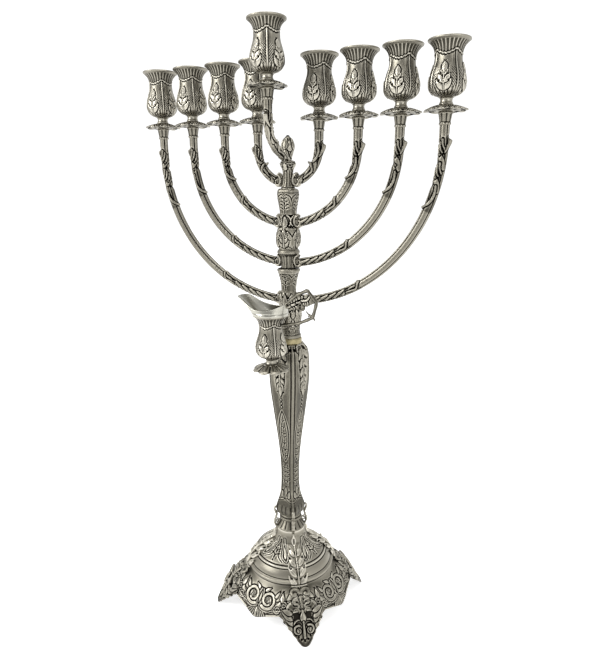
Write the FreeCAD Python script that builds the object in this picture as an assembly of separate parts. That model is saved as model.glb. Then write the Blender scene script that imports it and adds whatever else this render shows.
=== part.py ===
import FreeCAD, Part
import math
import os

from FreeCAD import Vector

# Nine-light standing lamp (hanukkiah) with a hanging oil jug.
# Origin: centre of the base at table level. +Z up, +X along the row of branches, -Y is the front,
# where the servant light and the jug are. Millimetres.

# ---- driving dimensions -------------------------------------------------------------------
BRANCH_COUNT = 4                  # pairs of branches
INNER_ARC_RADIUS = 37.3           # centreline radius of the innermost branch
ARC_SPACING = 43.9                # from one branch to the next
ARC_CENTRE_Z = 565.3              # the branches are concentric semicircles about this height
ARM_RADIUS = 4.8
FERRULE_BOTTOM_Z = 580.5          # the beaded ring under each ferrule
FERRULE_HEIGHT = 11.9
PAN_HEIGHT = 6.1
CUP_HEIGHT = 57.4                 # from the foot of the cup's neck to its rim
SERVANT_REACH = 43.7              # how far forward the servant light stands
SERVANT_RISE = 27.8               # how much higher than the others it stands
CORNER_AZIMUTH = 37.0             # the base's corners, from -Y towards +X, with the top screwed home
JUG_REACH = 45.2
JUG_NECK_Z = 331.1                # foot of the jug's neck
WALL = 1.8                        # thickness of the cast and spun shells
RUN_FIT = 0.05                    # radial clearance of studs and rods in their bores
ROD_RADIUS = 3.0                  # long rod through base and column
STEM_ROD_RADIUS = 2.5             # rod through the branch section
STUD_RADIUS = 2.5                 # studs that the cups screw on to
STUD_DEPTH = 10.0                 # below the ferrule's foot, inside the branch
STUD_REACH = 8.5                  # above the pan, inside the cup's neck
FOOT_REACH = 98.0
SPIGOT_RADIUS = 8.0               # brass screw spigot between column and branch section
SPIGOT_FOOT_Z = 336.5
SPIGOT_TOP_Z = 361.0
HUB_INSIDE = 4.2                  # how far from the axis a branch begins, inside its hub
COLLAR_ANGLES = [59, 47, 36, 31]  # leaf collar on each branch, degrees round its arc from the bottom
SERVANT_ROOT_REACH = 4.0          # where the servant branch leaves the capital
SERVANT_ROOT_Z = 552.5
SERVANT_SLOPE = 24.0              # degrees
SERVANT_BEND_RADIUS = 34.0
SERVANT_TURN = -15.0              # the servant cup is screwed home a little short, degrees

# Levels along the axis
BASE_TOP_Z = 101.0
KNOP_TOP_Z = 121.0
COLUMN_TOP_Z = 345.0
BUSH_TOP_Z = 352.0
SOCKET_TOP_Z = 366.0
LEAF_KNOP_TOP_Z = 389.0
HUB_4_TOP_Z = 406.0
DRUM_TOP_Z = 430.0
HUB_3_TOP_Z = 456.0
VASE_TOP_Z = 479.0
HUB_2_TOP_Z = 494.0
URN_TOP_Z = 522.0
HUB_1_TOP_Z = 552.0
FINIAL_TOP_Z = 578.5

BRANCH_RADII = [INNER_ARC_RADIUS + ARC_SPACING * i for i in range(BRANCH_COUNT)]
FERRULE_TOP_Z = FERRULE_BOTTOM_Z + FERRULE_HEIGHT
PAN_TOP_Z = FERRULE_TOP_Z + PAN_HEIGHT
UP = Vector(0, 0, 1)
ORIGIN = Vector(0, 0, 0)

os.makedirs("parts", exist_ok=True)


# ---- helpers ------------------------------------------------------------------------------
def save(name, *solids):
    """Writes one node, as one solid or a group of separate solids."""
    shape = solids[0] if len(solids) == 1 else Part.makeCompound(list(solids))
    for solid in shape.Solids:
        if not solid.isValid():
            raise ValueError(name + " is not valid")
    shape.exportStep("parts/" + name + ".step")
    print(name, len(shape.Solids), round(shape.Volume))
    return shape


def moved(shape, x=0.0, y=0.0, z=0.0):
    copy = shape.copy()
    copy.translate(Vector(x, y, z))
    return copy


def turned(shape, degrees):
    copy = shape.copy()
    copy.rotate(ORIGIN, UP, degrees)
    return copy


def cylinder(radius, z_low, z_high, x=0.0, y=0.0):
    return Part.makeCylinder(radius, z_high - z_low, Vector(x, y, z_low))


def turned_solid(outline):
    """Solid of revolution from a closed outline of (radius, z) corners, joined by straight lines."""
    points = [Vector(r, 0, z) for r, z in outline]
    face = Part.Face(Part.makePolygon(points + points[:1]))
    return face.revolve(ORIGIN, UP, 360)


def flowing_solid(outline, z_low, z_high):
    """Solid of revolution whose side is one smooth curve through (radius, z) points, flat at both ends."""
    curve = Part.BSplineCurve()
    curve.interpolate([Vector(r, 0, z) for r, z in outline])
    first, last = outline[0], outline[-1]
    edges = [
        curve.toShape(),
        Part.makeLine(Vector(last[0], 0, last[1]), Vector(0, 0, z_high)),
        Part.makeLine(Vector(0, 0, z_high), Vector(0, 0, z_low)),
        Part.makeLine(Vector(0, 0, z_low), Vector(first[0], 0, first[1])),
    ]
    return Part.Face(Part.Wire(edges)).revolve(ORIGIN, UP, 360)


def square_section(z, corner, roundness):
    """Square wire with rounded corners; corner is the distance from the axis to a corner."""
    half = corner / (math.sqrt(2) - roundness * (math.sqrt(2) - 1))
    fillet = roundness * half
    flat = half - fillet
    bulge = flat + fillet / math.sqrt(2)
    edges = []
    for quarter in range(4):
        turn = FreeCAD.Rotation(UP, 90 * quarter)
        start = turn.multVec(Vector(half, -flat, 0))
        end = turn.multVec(Vector(half, flat, 0))
        middle = turn.multVec(Vector(bulge, bulge, 0))
        after = turn.multVec(Vector(flat, half, 0))
        edges.append(Part.makeLine(start, end))
        edges.append(Part.Arc(end, middle, after).toShape())
    wire = Part.Wire(edges)
    wire.translate(Vector(0, 0, z))
    return wire


def four_sided(sections, roundness):
    """Loft through rounded squares given as (corner distance, z)."""
    return Part.makeLoft([square_section(z, corner, roundness) for corner, z in sections], True)


def radial_plate(outline, half_width, azimuth):
    """Plate cut to a (radius, z) outline, standing in the vertical plane at an azimuth from -Y."""
    points = [Vector(r, -half_width, z) for r, z in outline]
    face = Part.Face(Part.makePolygon(points + points[:1]))
    return turned(face.extrude(Vector(0, 2 * half_width, 0)), azimuth - 90)


def front_prism(outline, azimuth):
    """Prism of a (side, z) outline, running outwards from the axis past the feet, at an azimuth from -Y."""
    points = [Vector(0, side, z) for side, z in outline]
    face = Part.Face(Part.makePolygon(points + points[:1]))
    return turned(face.extrude(Vector(1.2 * FOOT_REACH, 0, 0)), azimuth - 90)


def mirrored_front(half):
    """Closed (side, z) outline from its right-hand half, listed downwards."""
    return half + [(-side, z) for side, z in reversed(half)]


def bar(points, radius):
    """Round bar through points, with a ball at every joint."""
    solid = Part.makeSphere(radius, points[0])
    for start, end in zip(points, points[1:]):
        run = end - start
        solid = solid.fuse(Part.makeCylinder(radius, run.Length, start, run))
        solid = solid.fuse(Part.makeSphere(radius, end))
    return solid.removeSplitter()


def tube_along(wire, start, direction, radius):
    """Round bar swept along a wire of straight runs and tangent arcs."""
    ring = Part.Wire([Part.makeCircle(radius, start, direction)])
    return wire.makePipeShell([ring], True, False)


# ---- base ---------------------------------------------------------------------------------
DOME = [(17.4, BASE_TOP_Z), (18.6, 94.5), (21.6, 86.6), (28.4, 81.0), (35.2, 76.4), (41.6, 71.8),
        (45.6, 67.6), (49.0, 62.6), (52.0, 57.0)]
FLARE = [(53.2, 51.5), (56.0, 47.6), (60.0, 42.5), (66.0, 35.6), (72.0, 28.2), (76.0, 22.6), (78.6, 17.0)]
RIDGE = [(54.6, 56.0), (54.6, 53.0)]


def dome_side(offset):
    """Outline of the dome and its flare, moved towards the inside by an offset."""
    side = [(r - offset, z - 0.8 * offset) for r, z in DOME + RIDGE + FLARE]
    if offset:
        side[0] = (side[1][0], BASE_TOP_Z - 3.0)
        side[-1] = (side[-1][0] + 0.6, FLARE[-1][1])
    return side


def make_base():
    outer = dome_side(0.0)
    inner = dome_side(WALL)
    full = turned_solid([(0, BASE_TOP_Z)] + outer + [(0, FLARE[-1][1])])
    hollow = turned_solid([(0, BASE_TOP_Z - 3.0)] + inner + [(0, FLARE[-1][1])])
    shell = full.cut(hollow).cut(cylinder(ROD_RADIUS + RUN_FIT, 90, BASE_TOP_Z))
    corners = [CORNER_AZIMUTH + 90 * quarter for quarter in range(4)]
    skirt_z = FLARE[-1][1]
    for azimuth in corners:
        shell = shell.cut(front_prism([(2, skirt_z), (34, skirt_z), (34, skirt_z + 10)], azimuth - 45))
        shell = shell.cut(front_prism([(-2, skirt_z), (-34, skirt_z + 10), (-34, skirt_z)], azimuth - 45))
    save("base_shell", shell)

    leaf_side = [(16, 95.5), (21, 95.0), (23.4, 88.6), (29.8, 83.3), (36.6, 78.8), (43.2, 74.2), (48.0, 69.6),
                 (52.4, 63.6), (55.6, 56.2), (59.0, 49.5), (57, 46), (40, 60)]
    leaf_front = mirrored_front([(4, 100), (8, 84), (12, 72), (8, 58), (11, 51), (8, 44)])
    foot_side = [(56, 49), (61, 47.0), (68, 43.0), (75, 36.6), (81, 28.0), (87, 17.0), (93, 7.6),
                 (FOOT_REACH, 1.2), (FOOT_REACH - 0.6, 0), (90, 0), (85, 7.0), (78, 15.5), (58, 32)]
    foot_front = mirrored_front([(9, 53), (14, 46), (22, 40), (29, 34), (26, 26), (20, 17), (11.5, 6), (4, 0)])
    leaf_ring = turned_solid(leaf_side)
    foot_ring = turned_solid(foot_side)
    leaves = []
    feet = []
    for azimuth in corners:
        foot = foot_ring.common(front_prism(foot_front, azimuth)).cut(full)
        leaf = leaf_ring.common(front_prism(leaf_front, azimuth))
        feet.append(foot)
        leaves.append(leaf.cut(full).cut(foot))
    save("base_feet", *feet)
    leaf_mounts = save("base_leaf_mounts", *leaves)

    bore = ROD_RADIUS + RUN_FIT
    washer_z = BASE_TOP_Z - 3.0
    nut_z = washer_z - 2.0
    washer = turned_solid([(bore, nut_z), (13.0, nut_z), (13.0, washer_z), (bore, washer_z)])
    save("base_washer", washer)
    hexagon = Part.Face(Part.makePolygon([Vector(6.4 * math.cos(math.radians(60 * i)),
                                                 6.4 * math.sin(math.radians(60 * i)), nut_z - 5.0)
                                          for i in range(7)]))
    save("base_nut", hexagon.extrude(Vector(0, 0, 5.0)).cut(cylinder(bore, 80, 110)))
    save("tie_rod", cylinder(ROD_RADIUS, nut_z - 9.0, BUSH_TOP_Z + 6.0))
    return full.fuse(leaf_mounts), corners


# ---- column -------------------------------------------------------------------------------
COLUMN = [(16.4, 121), (17.8, 125), (18.3, 129), (16.6, 135.5), (14.2, 142.5), (12.4, 150),
          (11.4, 160), (11.1, 178), (11.9, 196), (13.3, 212), (15.2, 228), (18.2, 250), (20.6, 268),
          (22.8, 285), (24.2, 303), (24.2, 318), (23.3, 331), (21.0, 339.5), (17.0, 345)]
COLUMN_ROUNDNESS = 0.5
CAVITY = [(13.2, 125), (14.6, 130), (9.4, 150), (8.6, 178), (11.0, 212), (15.6, 250), (19.8, 285),
          (21.2, 303), (20.4, 331), (15.0, 341)]


def make_column(base_solid, corners):
    bore = ROD_RADIUS + RUN_FIT
    knop = turned_solid([(bore, BASE_TOP_Z), (18.2, BASE_TOP_Z), (18.6, 102.6), (16.0, 106.0),
                         (12.6, 110.6), (11.8, 112.4), (14.2, 113.2), (14.4, 115.0), (13.6, 116.2),
                         (12.4, 116.7), (13.4, 117.5), (13.2, 118.8), (11.6, 119.6), (11.6, KNOP_TOP_Z),
                         (bore, KNOP_TOP_Z)])
    save("lower_knop", knop)

    column = four_sided(COLUMN, COLUMN_ROUNDNESS).cut(four_sided(CAVITY, COLUMN_ROUNDNESS))
    column = column.cut(cylinder(bore, KNOP_TOP_Z, 130))
    column = column.cut(cylinder(SPIGOT_RADIUS, SPIGOT_FOOT_Z - 1.5, COLUMN_TOP_Z))
    column = turned(column, CORNER_AZIMUTH - 45)
    save("column", column)

    strap = [(17.2, 127), (18.4, 130.0), (20.6, 125), (19.4, 118), (20.8, 108), (19.2, 101), (21.4, 94),
             (19.4, 92), (16.8, 100), (18.4, 107.5), (13.0, 114.6), (17.4, 119)]
    brackets = []
    for azimuth in corners:
        plate = radial_plate(strap, 2.0, azimuth)
        brackets.append(plate.cut(knop).cut(column).cut(base_solid))
    return brackets


def make_bush():
    """Brass screw collar on the column: the branch section screws down over its spigot."""
    bore = ROD_RADIUS + RUN_FIT
    save("screw_collar", turned_solid([(bore, SPIGOT_FOOT_Z), (SPIGOT_RADIUS, SPIGOT_FOOT_Z),
                                       (SPIGOT_RADIUS, COLUMN_TOP_Z), (14.4, COLUMN_TOP_Z), (15.0, 346.5),
                                       (15.0, 350.5), (14.4, BUSH_TOP_Z), (SPIGOT_RADIUS, BUSH_TOP_Z),
                                       (SPIGOT_RADIUS, SPIGOT_TOP_Z), (bore, SPIGOT_TOP_Z)]))


# ---- branch section -----------------------------------------------------------------------
def bored(solid, radius, z_low, z_high):
    return solid.cut(cylinder(radius, z_low - 1, z_high + 1))


def make_stem():
    """The stack of turned and cast pieces that the branches grow from, threaded on one rod."""
    bore = STEM_ROD_RADIUS + RUN_FIT
    socket_floor_z = SPIGOT_TOP_Z + 1.0
    rod_low = SPIGOT_TOP_Z + 1.5
    rod_high = HUB_1_TOP_Z + 12.0

    spigot_bore = SPIGOT_RADIUS + RUN_FIT
    socket = turned_solid([(spigot_bore, BUSH_TOP_Z), (13.6, BUSH_TOP_Z), (13.9, 354.5), (13.2, 358.0),
                           (12.8, 361.0), (13.4, SOCKET_TOP_Z), (bore, SOCKET_TOP_Z),
                           (bore, socket_floor_z), (spigot_bore, socket_floor_z)])
    pieces = {"stem_socket": socket}
    knop = flowing_solid([(13.2, SOCKET_TOP_Z), (14.2, 372), (15.2, 379), (14.6, 385),
                          (11.6, LEAF_KNOP_TOP_Z)], SOCKET_TOP_Z, LEAF_KNOP_TOP_Z)
    hub_4 = turned_solid([(0, LEAF_KNOP_TOP_Z), (11.2, LEAF_KNOP_TOP_Z), (12.4, 391.5), (11.2, 397.0),
                          (10.4, 402.5), (9.0, HUB_4_TOP_Z), (0, HUB_4_TOP_Z)])
    hub_3 = turned_solid([(0, DRUM_TOP_Z), (12.9, DRUM_TOP_Z), (13.4, 431.2), (12.8, 432.8), (10.8, 434.4),
                          (9.8, 440.5), (10.8, 448.0), (12.4, 450.2), (12.8, 452.2), (12.0, 454.0),
                          (11.2, HUB_3_TOP_Z), (0, HUB_3_TOP_Z)])
    hub_2 = turned_solid([(0, VASE_TOP_Z), (12.2, VASE_TOP_Z), (11.0, 484.4), (10.4, 490.0),
                          (9.6, HUB_2_TOP_Z), (0, HUB_2_TOP_Z)])
    hub_1 = turned_solid([(0, URN_TOP_Z), (8.6, URN_TOP_Z), (7.2, 528.0), (6.6, 538.0), (7.0, 542.5),
                          (8.6, 548.0), (8.4, 550.8), (5.6, HUB_1_TOP_Z), (0, HUB_1_TOP_Z)])
    pieces["leaf_knop"] = bored(knop, bore, SOCKET_TOP_Z, LEAF_KNOP_TOP_Z)
    pieces["branch_hub_4"] = bored(hub_4, bore, LEAF_KNOP_TOP_Z, HUB_4_TOP_Z)
    drum = four_sided([(9.0, HUB_4_TOP_Z), (9.0, 413), (9.9, 420), (11.4, 426), (12.6, DRUM_TOP_Z)], 0.7)
    pieces["engraved_drum"] = bored(drum, bore, HUB_4_TOP_Z, DRUM_TOP_Z)
    pieces["branch_hub_3"] = bored(hub_3, bore, DRUM_TOP_Z, HUB_3_TOP_Z)
    vase = four_sided([(11.2, HUB_3_TOP_Z), (13.6, 461), (14.3, 467), (14.0, 473), (12.8, VASE_TOP_Z)], 0.7)
    pieces["leaf_vase"] = bored(vase, bore, HUB_3_TOP_Z, VASE_TOP_Z)
    pieces["branch_hub_2"] = bored(hub_2, bore, VASE_TOP_Z, HUB_2_TOP_Z)
    urn = four_sided([(9.8, HUB_2_TOP_Z), (10.2, 501), (11.6, 508), (12.5, 515), (12.2, URN_TOP_Z)], 0.6)
    pieces["engraved_urn"] = bored(urn, bore, HUB_2_TOP_Z, URN_TOP_Z)
    pieces["branch_hub_1"] = bored(hub_1, bore, URN_TOP_Z, HUB_1_TOP_Z)
    bud = flowing_solid([(4.6, HUB_1_TOP_Z), (4.4, 556), (6.0, 562), (7.6, 568.5), (6.8, 573.5),
                         (3.6, 577), (0.6, FINIAL_TOP_Z)], HUB_1_TOP_Z, FINIAL_TOP_Z)
    pieces["bud_finial"] = bud.cut(cylinder(bore, HUB_1_TOP_Z - 1, rod_high + 0.5))
    for name, solid in pieces.items():
        save(name, solid)
    save("stem_rod", cylinder(STEM_ROD_RADIUS, rod_low, rod_high))
    return pieces


def stud_hole(x=0.0, y=0.0, rise=0.0):
    return cylinder(STUD_RADIUS, FERRULE_BOTTOM_Z - STUD_DEPTH + rise, FERRULE_TOP_Z + rise, x, y)


def make_branches(pieces):
    """Four pairs of branches: a quarter circle out of its hub, then a short upright."""
    hubs = ["branch_hub_1", "branch_hub_2", "branch_hub_3", "branch_hub_4"]
    for index, radius in enumerate(BRANCH_RADII):
        hub = pieces[hubs[index]]
        start_angle = math.asin(HUB_INSIDE / radius)
        low = Vector(radius * math.sin(start_angle), 0, ARC_CENTRE_Z - radius * math.cos(start_angle))
        half = math.radians(45) + start_angle / 2
        middle = Vector(radius * math.sin(half), 0, ARC_CENTRE_Z - radius * math.cos(half))
        side = Vector(radius, 0, ARC_CENTRE_Z)
        top = Vector(radius, 0, FERRULE_BOTTOM_Z)
        wire = Part.Wire([Part.Arc(low, middle, side).toShape(), Part.makeLine(side, top)])
        direction = Vector(math.cos(start_angle), 0, math.sin(start_angle))
        arm = tube_along(wire, low, direction, ARM_RADIUS)
        collar_angle = math.radians(COLLAR_ANGLES[index])
        leaf_end = Vector(radius * math.sin(collar_angle), 0, ARC_CENTRE_Z - radius * math.cos(collar_angle))
        along = Vector(math.cos(collar_angle), 0, math.sin(collar_angle))
        band = Part.makeCylinder(ARM_RADIUS + 0.9, 3.0, leaf_end, along)
        tip = Part.makeCone(2.0, 0.4, 9.0, Vector(radius + 2.0, 0, ARC_CENTRE_Z - 2), Vector(0.75, 0, 1))
        arm = arm.fuse([band, tip])
        right = arm.cut(hub).cut(stud_hole(radius))
        left = right.mirror(ORIGIN, Vector(1, 0, 0))
        save("branch_%d_right" % (index + 1), right)
        save("branch_%d_left" % (index + 1), left)


def make_servant_branch(pieces):
    """The servant light's branch leaves the capital at a slope and turns upright in front."""
    slope = math.radians(SERVANT_SLOPE)
    bend_radius = SERVANT_BEND_RADIUS
    corner_z = SERVANT_ROOT_Z + (SERVANT_REACH - SERVANT_ROOT_REACH) * math.tan(slope)
    tangent = bend_radius * math.tan((math.pi / 2 - slope) / 2)
    root = Vector(0, -SERVANT_ROOT_REACH, SERVANT_ROOT_Z)
    start = Vector(0, -SERVANT_REACH + tangent * math.cos(slope), corner_z - tangent * math.sin(slope))
    end = Vector(0, -SERVANT_REACH, corner_z + tangent)
    centre = Vector(0, -SERVANT_REACH + bend_radius, corner_z + tangent)
    half = (math.pi / 2 - slope) / 2
    middle = centre + Vector(0, -bend_radius * math.cos(half), -bend_radius * math.sin(half))
    top = Vector(0, -SERVANT_REACH, FERRULE_BOTTOM_Z + SERVANT_RISE)
    wire = Part.Wire([Part.makeLine(root, start), Part.Arc(start, middle, end).toShape(),
                      Part.makeLine(end, top)])
    arm = tube_along(wire, root, Vector(0, -math.cos(slope), math.sin(slope)), ARM_RADIUS)
    arm = arm.cut(pieces["branch_hub_1"]).cut(pieces["bud_finial"])
    arm = arm.cut(cylinder(STEM_ROD_RADIUS + RUN_FIT, 540, 570))
    arm = max(arm.Solids, key=lambda solid: solid.Volume)
    save("servant_branch", arm.cut(stud_hole(0, -SERVANT_REACH, SERVANT_RISE)))


# ---- ferrules, pans and cups --------------------------------------------------------------
CUP_OUTSIDE = [(6.8, 0), (5.9, 2.2), (6.1, 5.4), (8.0, 8.0), (12.4, 10.8), (16.0, 15.0), (17.3, 19.6),
               (16.7, 26.0), (15.0, 32.0), (13.6, 37.0), (13.2, 42.5), (13.9, 47.5), (16.2, 52.4),
               (19.9, CUP_HEIGHT)]
CUP_INSIDE = [(10.8, 12.9), (14.2, 16.4), (15.5, 20.6), (14.9, 26.1), (13.2, 32.1), (11.8, 37.2),
              (11.4, 42.4), (12.1, 47.8), (14.3, 52.9), (18.3, CUP_HEIGHT)]
CUP_FLOOR = 12.4


def cup_solid(bored_neck):
    """One candle cup, its neck's foot at z = 0."""
    outside = flowing_solid(CUP_OUTSIDE, 0, CUP_HEIGHT)
    curve = Part.BSplineCurve()
    curve.interpolate([Vector(r, 0, z) for r, z in CUP_INSIDE])
    above = CUP_HEIGHT + 2
    rim = CUP_INSIDE[-1][0]
    edges = [
        curve.toShape(),
        Part.makeLine(Vector(rim, 0, CUP_HEIGHT), Vector(rim, 0, above)),
        Part.makeLine(Vector(rim, 0, above), Vector(0, 0, above)),
        Part.makeLine(Vector(0, 0, above), Vector(0, 0, CUP_FLOOR)),
        Part.makeLine(Vector(0, 0, CUP_FLOOR), Vector(CUP_INSIDE[0][0], 0, CUP_INSIDE[0][1])),
    ]
    cup = outside.cut(Part.Face(Part.Wire(edges)).revolve(ORIGIN, UP, 360))
    if bored_neck:
        cup = cup.cut(cylinder(STUD_RADIUS + RUN_FIT, -1, STUD_REACH + 0.5))
    return cup


def pan_solid():
    """Drip pan, its underside at z = 0: a domed middle, a drooping brim and four pointed lobes."""
    bore = STUD_RADIUS + RUN_FIT
    disc = turned_solid([(bore, 0), (7.0, 0), (12.0, 1.4), (17.0, 1.8), (20.2, 0.6), (20.6, 1.3),
                         (19.8, 2.6), (15.6, 4.0), (11.0, 5.4), (7.2, PAN_HEIGHT), (bore, PAN_HEIGHT)])
    lobe = Part.Face(Part.makePolygon([Vector(19.0, -4.0, 0.9), Vector(21.6, 0, 0.9), Vector(19.0, 4.0, 0.9),
                                       Vector(19.0, -4.0, 0.9)])).extrude(Vector(0, 0, 1.0))
    return disc.fuse([turned(lobe, 90 * quarter) for quarter in range(4)])


def ferrule_solid():
    """Tapered fluted ferrule with a beaded ring at its lower edge, its foot at z = 0."""
    bore = STUD_RADIUS
    return turned_solid([(bore, 0), (5.9, 0), (6.5, 0.7), (6.5, 1.9), (5.6, 2.6), (5.8, 5.0), (6.5, 9.5),
                         (6.8, 10.6), (6.6, FERRULE_HEIGHT), (bore, FERRULE_HEIGHT)])


def make_lights():
    places = {}
    for index, radius in enumerate(BRANCH_RADII):
        places["left_%d" % (index + 1)] = (-radius, 0, 0)
        places["right_%d" % (index + 1)] = (radius, 0, 0)
    places["servant"] = (0, -SERVANT_REACH, SERVANT_RISE)
    cup = cup_solid(True)
    pan = pan_solid()
    ferrule = ferrule_solid()
    ferrules = []
    studs = []
    for name, (x, y, rise) in places.items():
        turn = SERVANT_TURN if name == "servant" else 0
        save("cup_" + name, moved(turned(cup, turn), x, y, PAN_TOP_Z + rise))
        save("pan_" + name, moved(turned(pan, turn), x, y, FERRULE_TOP_Z + rise))
        ferrules.append(moved(ferrule, x, y, FERRULE_BOTTOM_Z + rise))
        stud = cylinder(STUD_RADIUS, FERRULE_BOTTOM_Z - STUD_DEPTH, PAN_TOP_Z + STUD_REACH, x, y)
        studs.append(moved(stud, z=rise))
    save("ferrules", *ferrules)
    save("cup_studs", *studs)


# ---- jug ----------------------------------------------------------------------------------
HANDLE = [(19.4, 400), (33, 412), (45, 417.5), (55.4, 406), (51.1, 389.5), (34.6, 381.2), (13.4, 377.0)]
RING_Z = 374.0                    # underside of the ring that hangs on the hook
RING_REACH = 22.6
PEG_RADIUS = 1.6
SPOUT_TIP = -39.5                 # from the jug's axis
SPOUT_HALF_LENGTH = 31.5
SPOUT_HEIGHT = 18.0               # above the fluted rim
SADDLE_RADIUS = 43.0              # the mouth dips between spout and handle
SADDLE_Z = 6.0


def collar_loft(low_radius, half_length, half_width):
    """Solid flaring from the round rim to a long oval mouth that reaches over the spout."""
    centre = Vector(SPOUT_TIP + SPOUT_HALF_LENGTH, 0, SPOUT_HEIGHT)
    side = centre + Vector(0, half_width, 0)
    tip = centre - Vector(half_length, 0, 0)
    low = Part.Wire([Part.makeCircle(low_radius, ORIGIN)])
    high = Part.Wire([Part.Ellipse(tip, side, centre).toShape()])
    return Part.makeLoft([low, high], True)


def make_jug():
    body = moved(cup_solid(False), 0, -JUG_REACH, JUG_NECK_Z)
    foot = turned_solid([(0, -7.4), (20.2, -7.4), (20.5, -6.0), (18.5, -4.4), (13.5, -2.2), (9.0, -0.6),
                         (7.0, 0), (0, 0)])
    foot = foot.cut(turned_solid([(0, -7.4), (18.6, -7.4), (17.6, -6.2), (12.6, -4.0), (8.0, -2.6), (0, -2.6)]))
    foot = moved(foot, 0, -JUG_REACH, JUG_NECK_Z)
    save("jug_foot", foot)

    rim_z = JUG_NECK_Z + CUP_HEIGHT
    spout = collar_loft(19.9, SPOUT_HALF_LENGTH, 19.8)
    spout = spout.cut(collar_loft(18.5, SPOUT_HALF_LENGTH - 1.5, 18.4))
    saddle = Part.makeCylinder(SADDLE_RADIUS, 100, Vector(-2.0, 50, SADDLE_RADIUS + SADDLE_Z),
                               Vector(0, -1, 0))
    spout = moved(spout.cut(saddle), 0, -JUG_REACH, rim_z)
    save("jug_spout_collar", spout)

    handle = bar([Vector(x, -JUG_REACH, z) for x, z in HANDLE], 1.9)
    thorn = Part.makeCone(1.5, 0.5, 9.0, Vector(51.5, -JUG_REACH, 391), Vector(-8, 0, 4.5))
    inner_space = cylinder(19.0, rim_z - 0.5, rim_z + 30, 0, -JUG_REACH)
    handle = handle.fuse(thorn).cut(inner_space).cut(spout).cut(body)
    handle = handle.cut(cylinder(12.4, JUG_NECK_Z + 30, rim_z, 0, -JUG_REACH))
    handle = max(handle.Solids, key=lambda solid: solid.Volume)
    save("jug_handle", handle)
    save("jug_body", body)

    ring = cylinder(4.6, RING_Z, RING_Z + 3.4, 0, -RING_REACH)
    strap = Part.makeBox(4.4, 12.0, 3.4, Vector(-2.2, -RING_REACH - 15.0, RING_Z))
    ring = ring.fuse(strap).cut(cylinder(PEG_RADIUS + 0.8, RING_Z - 1, RING_Z + 5, 0, -RING_REACH)).cut(body)
    ring = ring.cut(cylinder(12.4, RING_Z - 1, RING_Z + 5, 0, -JUG_REACH))
    ring = max(ring.Solids, key=lambda solid: solid.Volume)
    save("jug_ring", ring.removeSplitter())


def make_hook(pieces):
    """Hook on the front of the stem that the jug hangs on."""
    shank = Part.makeCylinder(1.7, RING_REACH - 8, Vector(0, -8, RING_Z - 4.0), Vector(0, -1, 0))
    peg = cylinder(PEG_RADIUS, RING_Z - 4.0, RING_Z + 9.0, 0, -RING_REACH)
    shoulder = cylinder(3.4, RING_Z - 6.0, RING_Z, 0, -RING_REACH)
    tip = Part.makeSphere(PEG_RADIUS, Vector(0, -RING_REACH, RING_Z + 9.0))
    hook = shank.fuse([peg, shoulder, tip]).cut(pieces["leaf_knop"])
    hook = hook.cut(cylinder(12, RING_Z - 8, RING_Z + 4))
    save("jug_hook", max(hook.Solids, key=lambda solid: solid.Volume).removeSplitter())


base_solid, base_corners = make_base()
save("knop_brackets", *make_column(base_solid, base_corners))
make_bush()
stem_pieces = make_stem()
make_branches(stem_pieces)
make_servant_branch(stem_pieces)
make_lights()
make_jug()
make_hook(stem_pieces)
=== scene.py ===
import math

import bpy
import mathutils
import numpy as np
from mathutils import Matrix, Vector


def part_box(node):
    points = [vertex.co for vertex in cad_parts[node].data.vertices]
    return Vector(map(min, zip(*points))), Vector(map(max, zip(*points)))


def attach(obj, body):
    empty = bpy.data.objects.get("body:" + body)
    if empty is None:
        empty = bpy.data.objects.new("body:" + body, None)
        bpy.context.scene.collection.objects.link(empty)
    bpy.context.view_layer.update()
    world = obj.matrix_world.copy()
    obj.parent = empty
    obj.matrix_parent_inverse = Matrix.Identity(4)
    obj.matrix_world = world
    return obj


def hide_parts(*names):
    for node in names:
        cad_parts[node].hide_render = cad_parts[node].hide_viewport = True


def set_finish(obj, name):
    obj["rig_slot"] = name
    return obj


# Nine-light standing lamp with a hanging oil jug: the visible pieces, as relief over smooth surfaces.
# All shapes are worked out in millimetres and turned into metres where a mesh is made.
# Origin on the table under the axis, +Z up, +X along the branches, -Y the front.
MM = 0.001
TURN = 2 * math.pi

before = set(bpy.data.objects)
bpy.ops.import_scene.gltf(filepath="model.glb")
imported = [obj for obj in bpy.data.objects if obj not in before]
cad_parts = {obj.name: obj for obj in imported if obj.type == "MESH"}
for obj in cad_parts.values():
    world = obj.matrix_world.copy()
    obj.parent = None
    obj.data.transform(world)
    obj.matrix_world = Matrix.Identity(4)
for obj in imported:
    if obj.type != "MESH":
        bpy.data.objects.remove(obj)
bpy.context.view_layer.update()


def low(node):
    """Lowest corner of a CAD node in millimetres."""
    return np.array(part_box(node)[0]) / MM


def high(node):
    """Highest corner of a CAD node in millimetres."""
    return np.array(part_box(node)[1]) / MM


def centre(node):
    return (low(node) + high(node)) / 2


# ---- curves and grids ---------------------------------------------------------------------
def bell(x, width):
    """1 at x 0, falling to nearly 0 two widths away."""
    return np.exp(-(x / width) ** 2)


def resampled(points, step):
    """Points spaced evenly, about one step apart, along a line."""
    points = np.asarray(points, float)
    run = np.r_[0, np.cumsum(np.linalg.norm(np.diff(points, axis=0), axis=1))]
    at = np.linspace(0, run[-1], max(3, int(round(run[-1] / step)) + 1))
    return np.stack([np.interp(at, run, points[:, k]) for k in range(points.shape[1])], 1)


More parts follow.
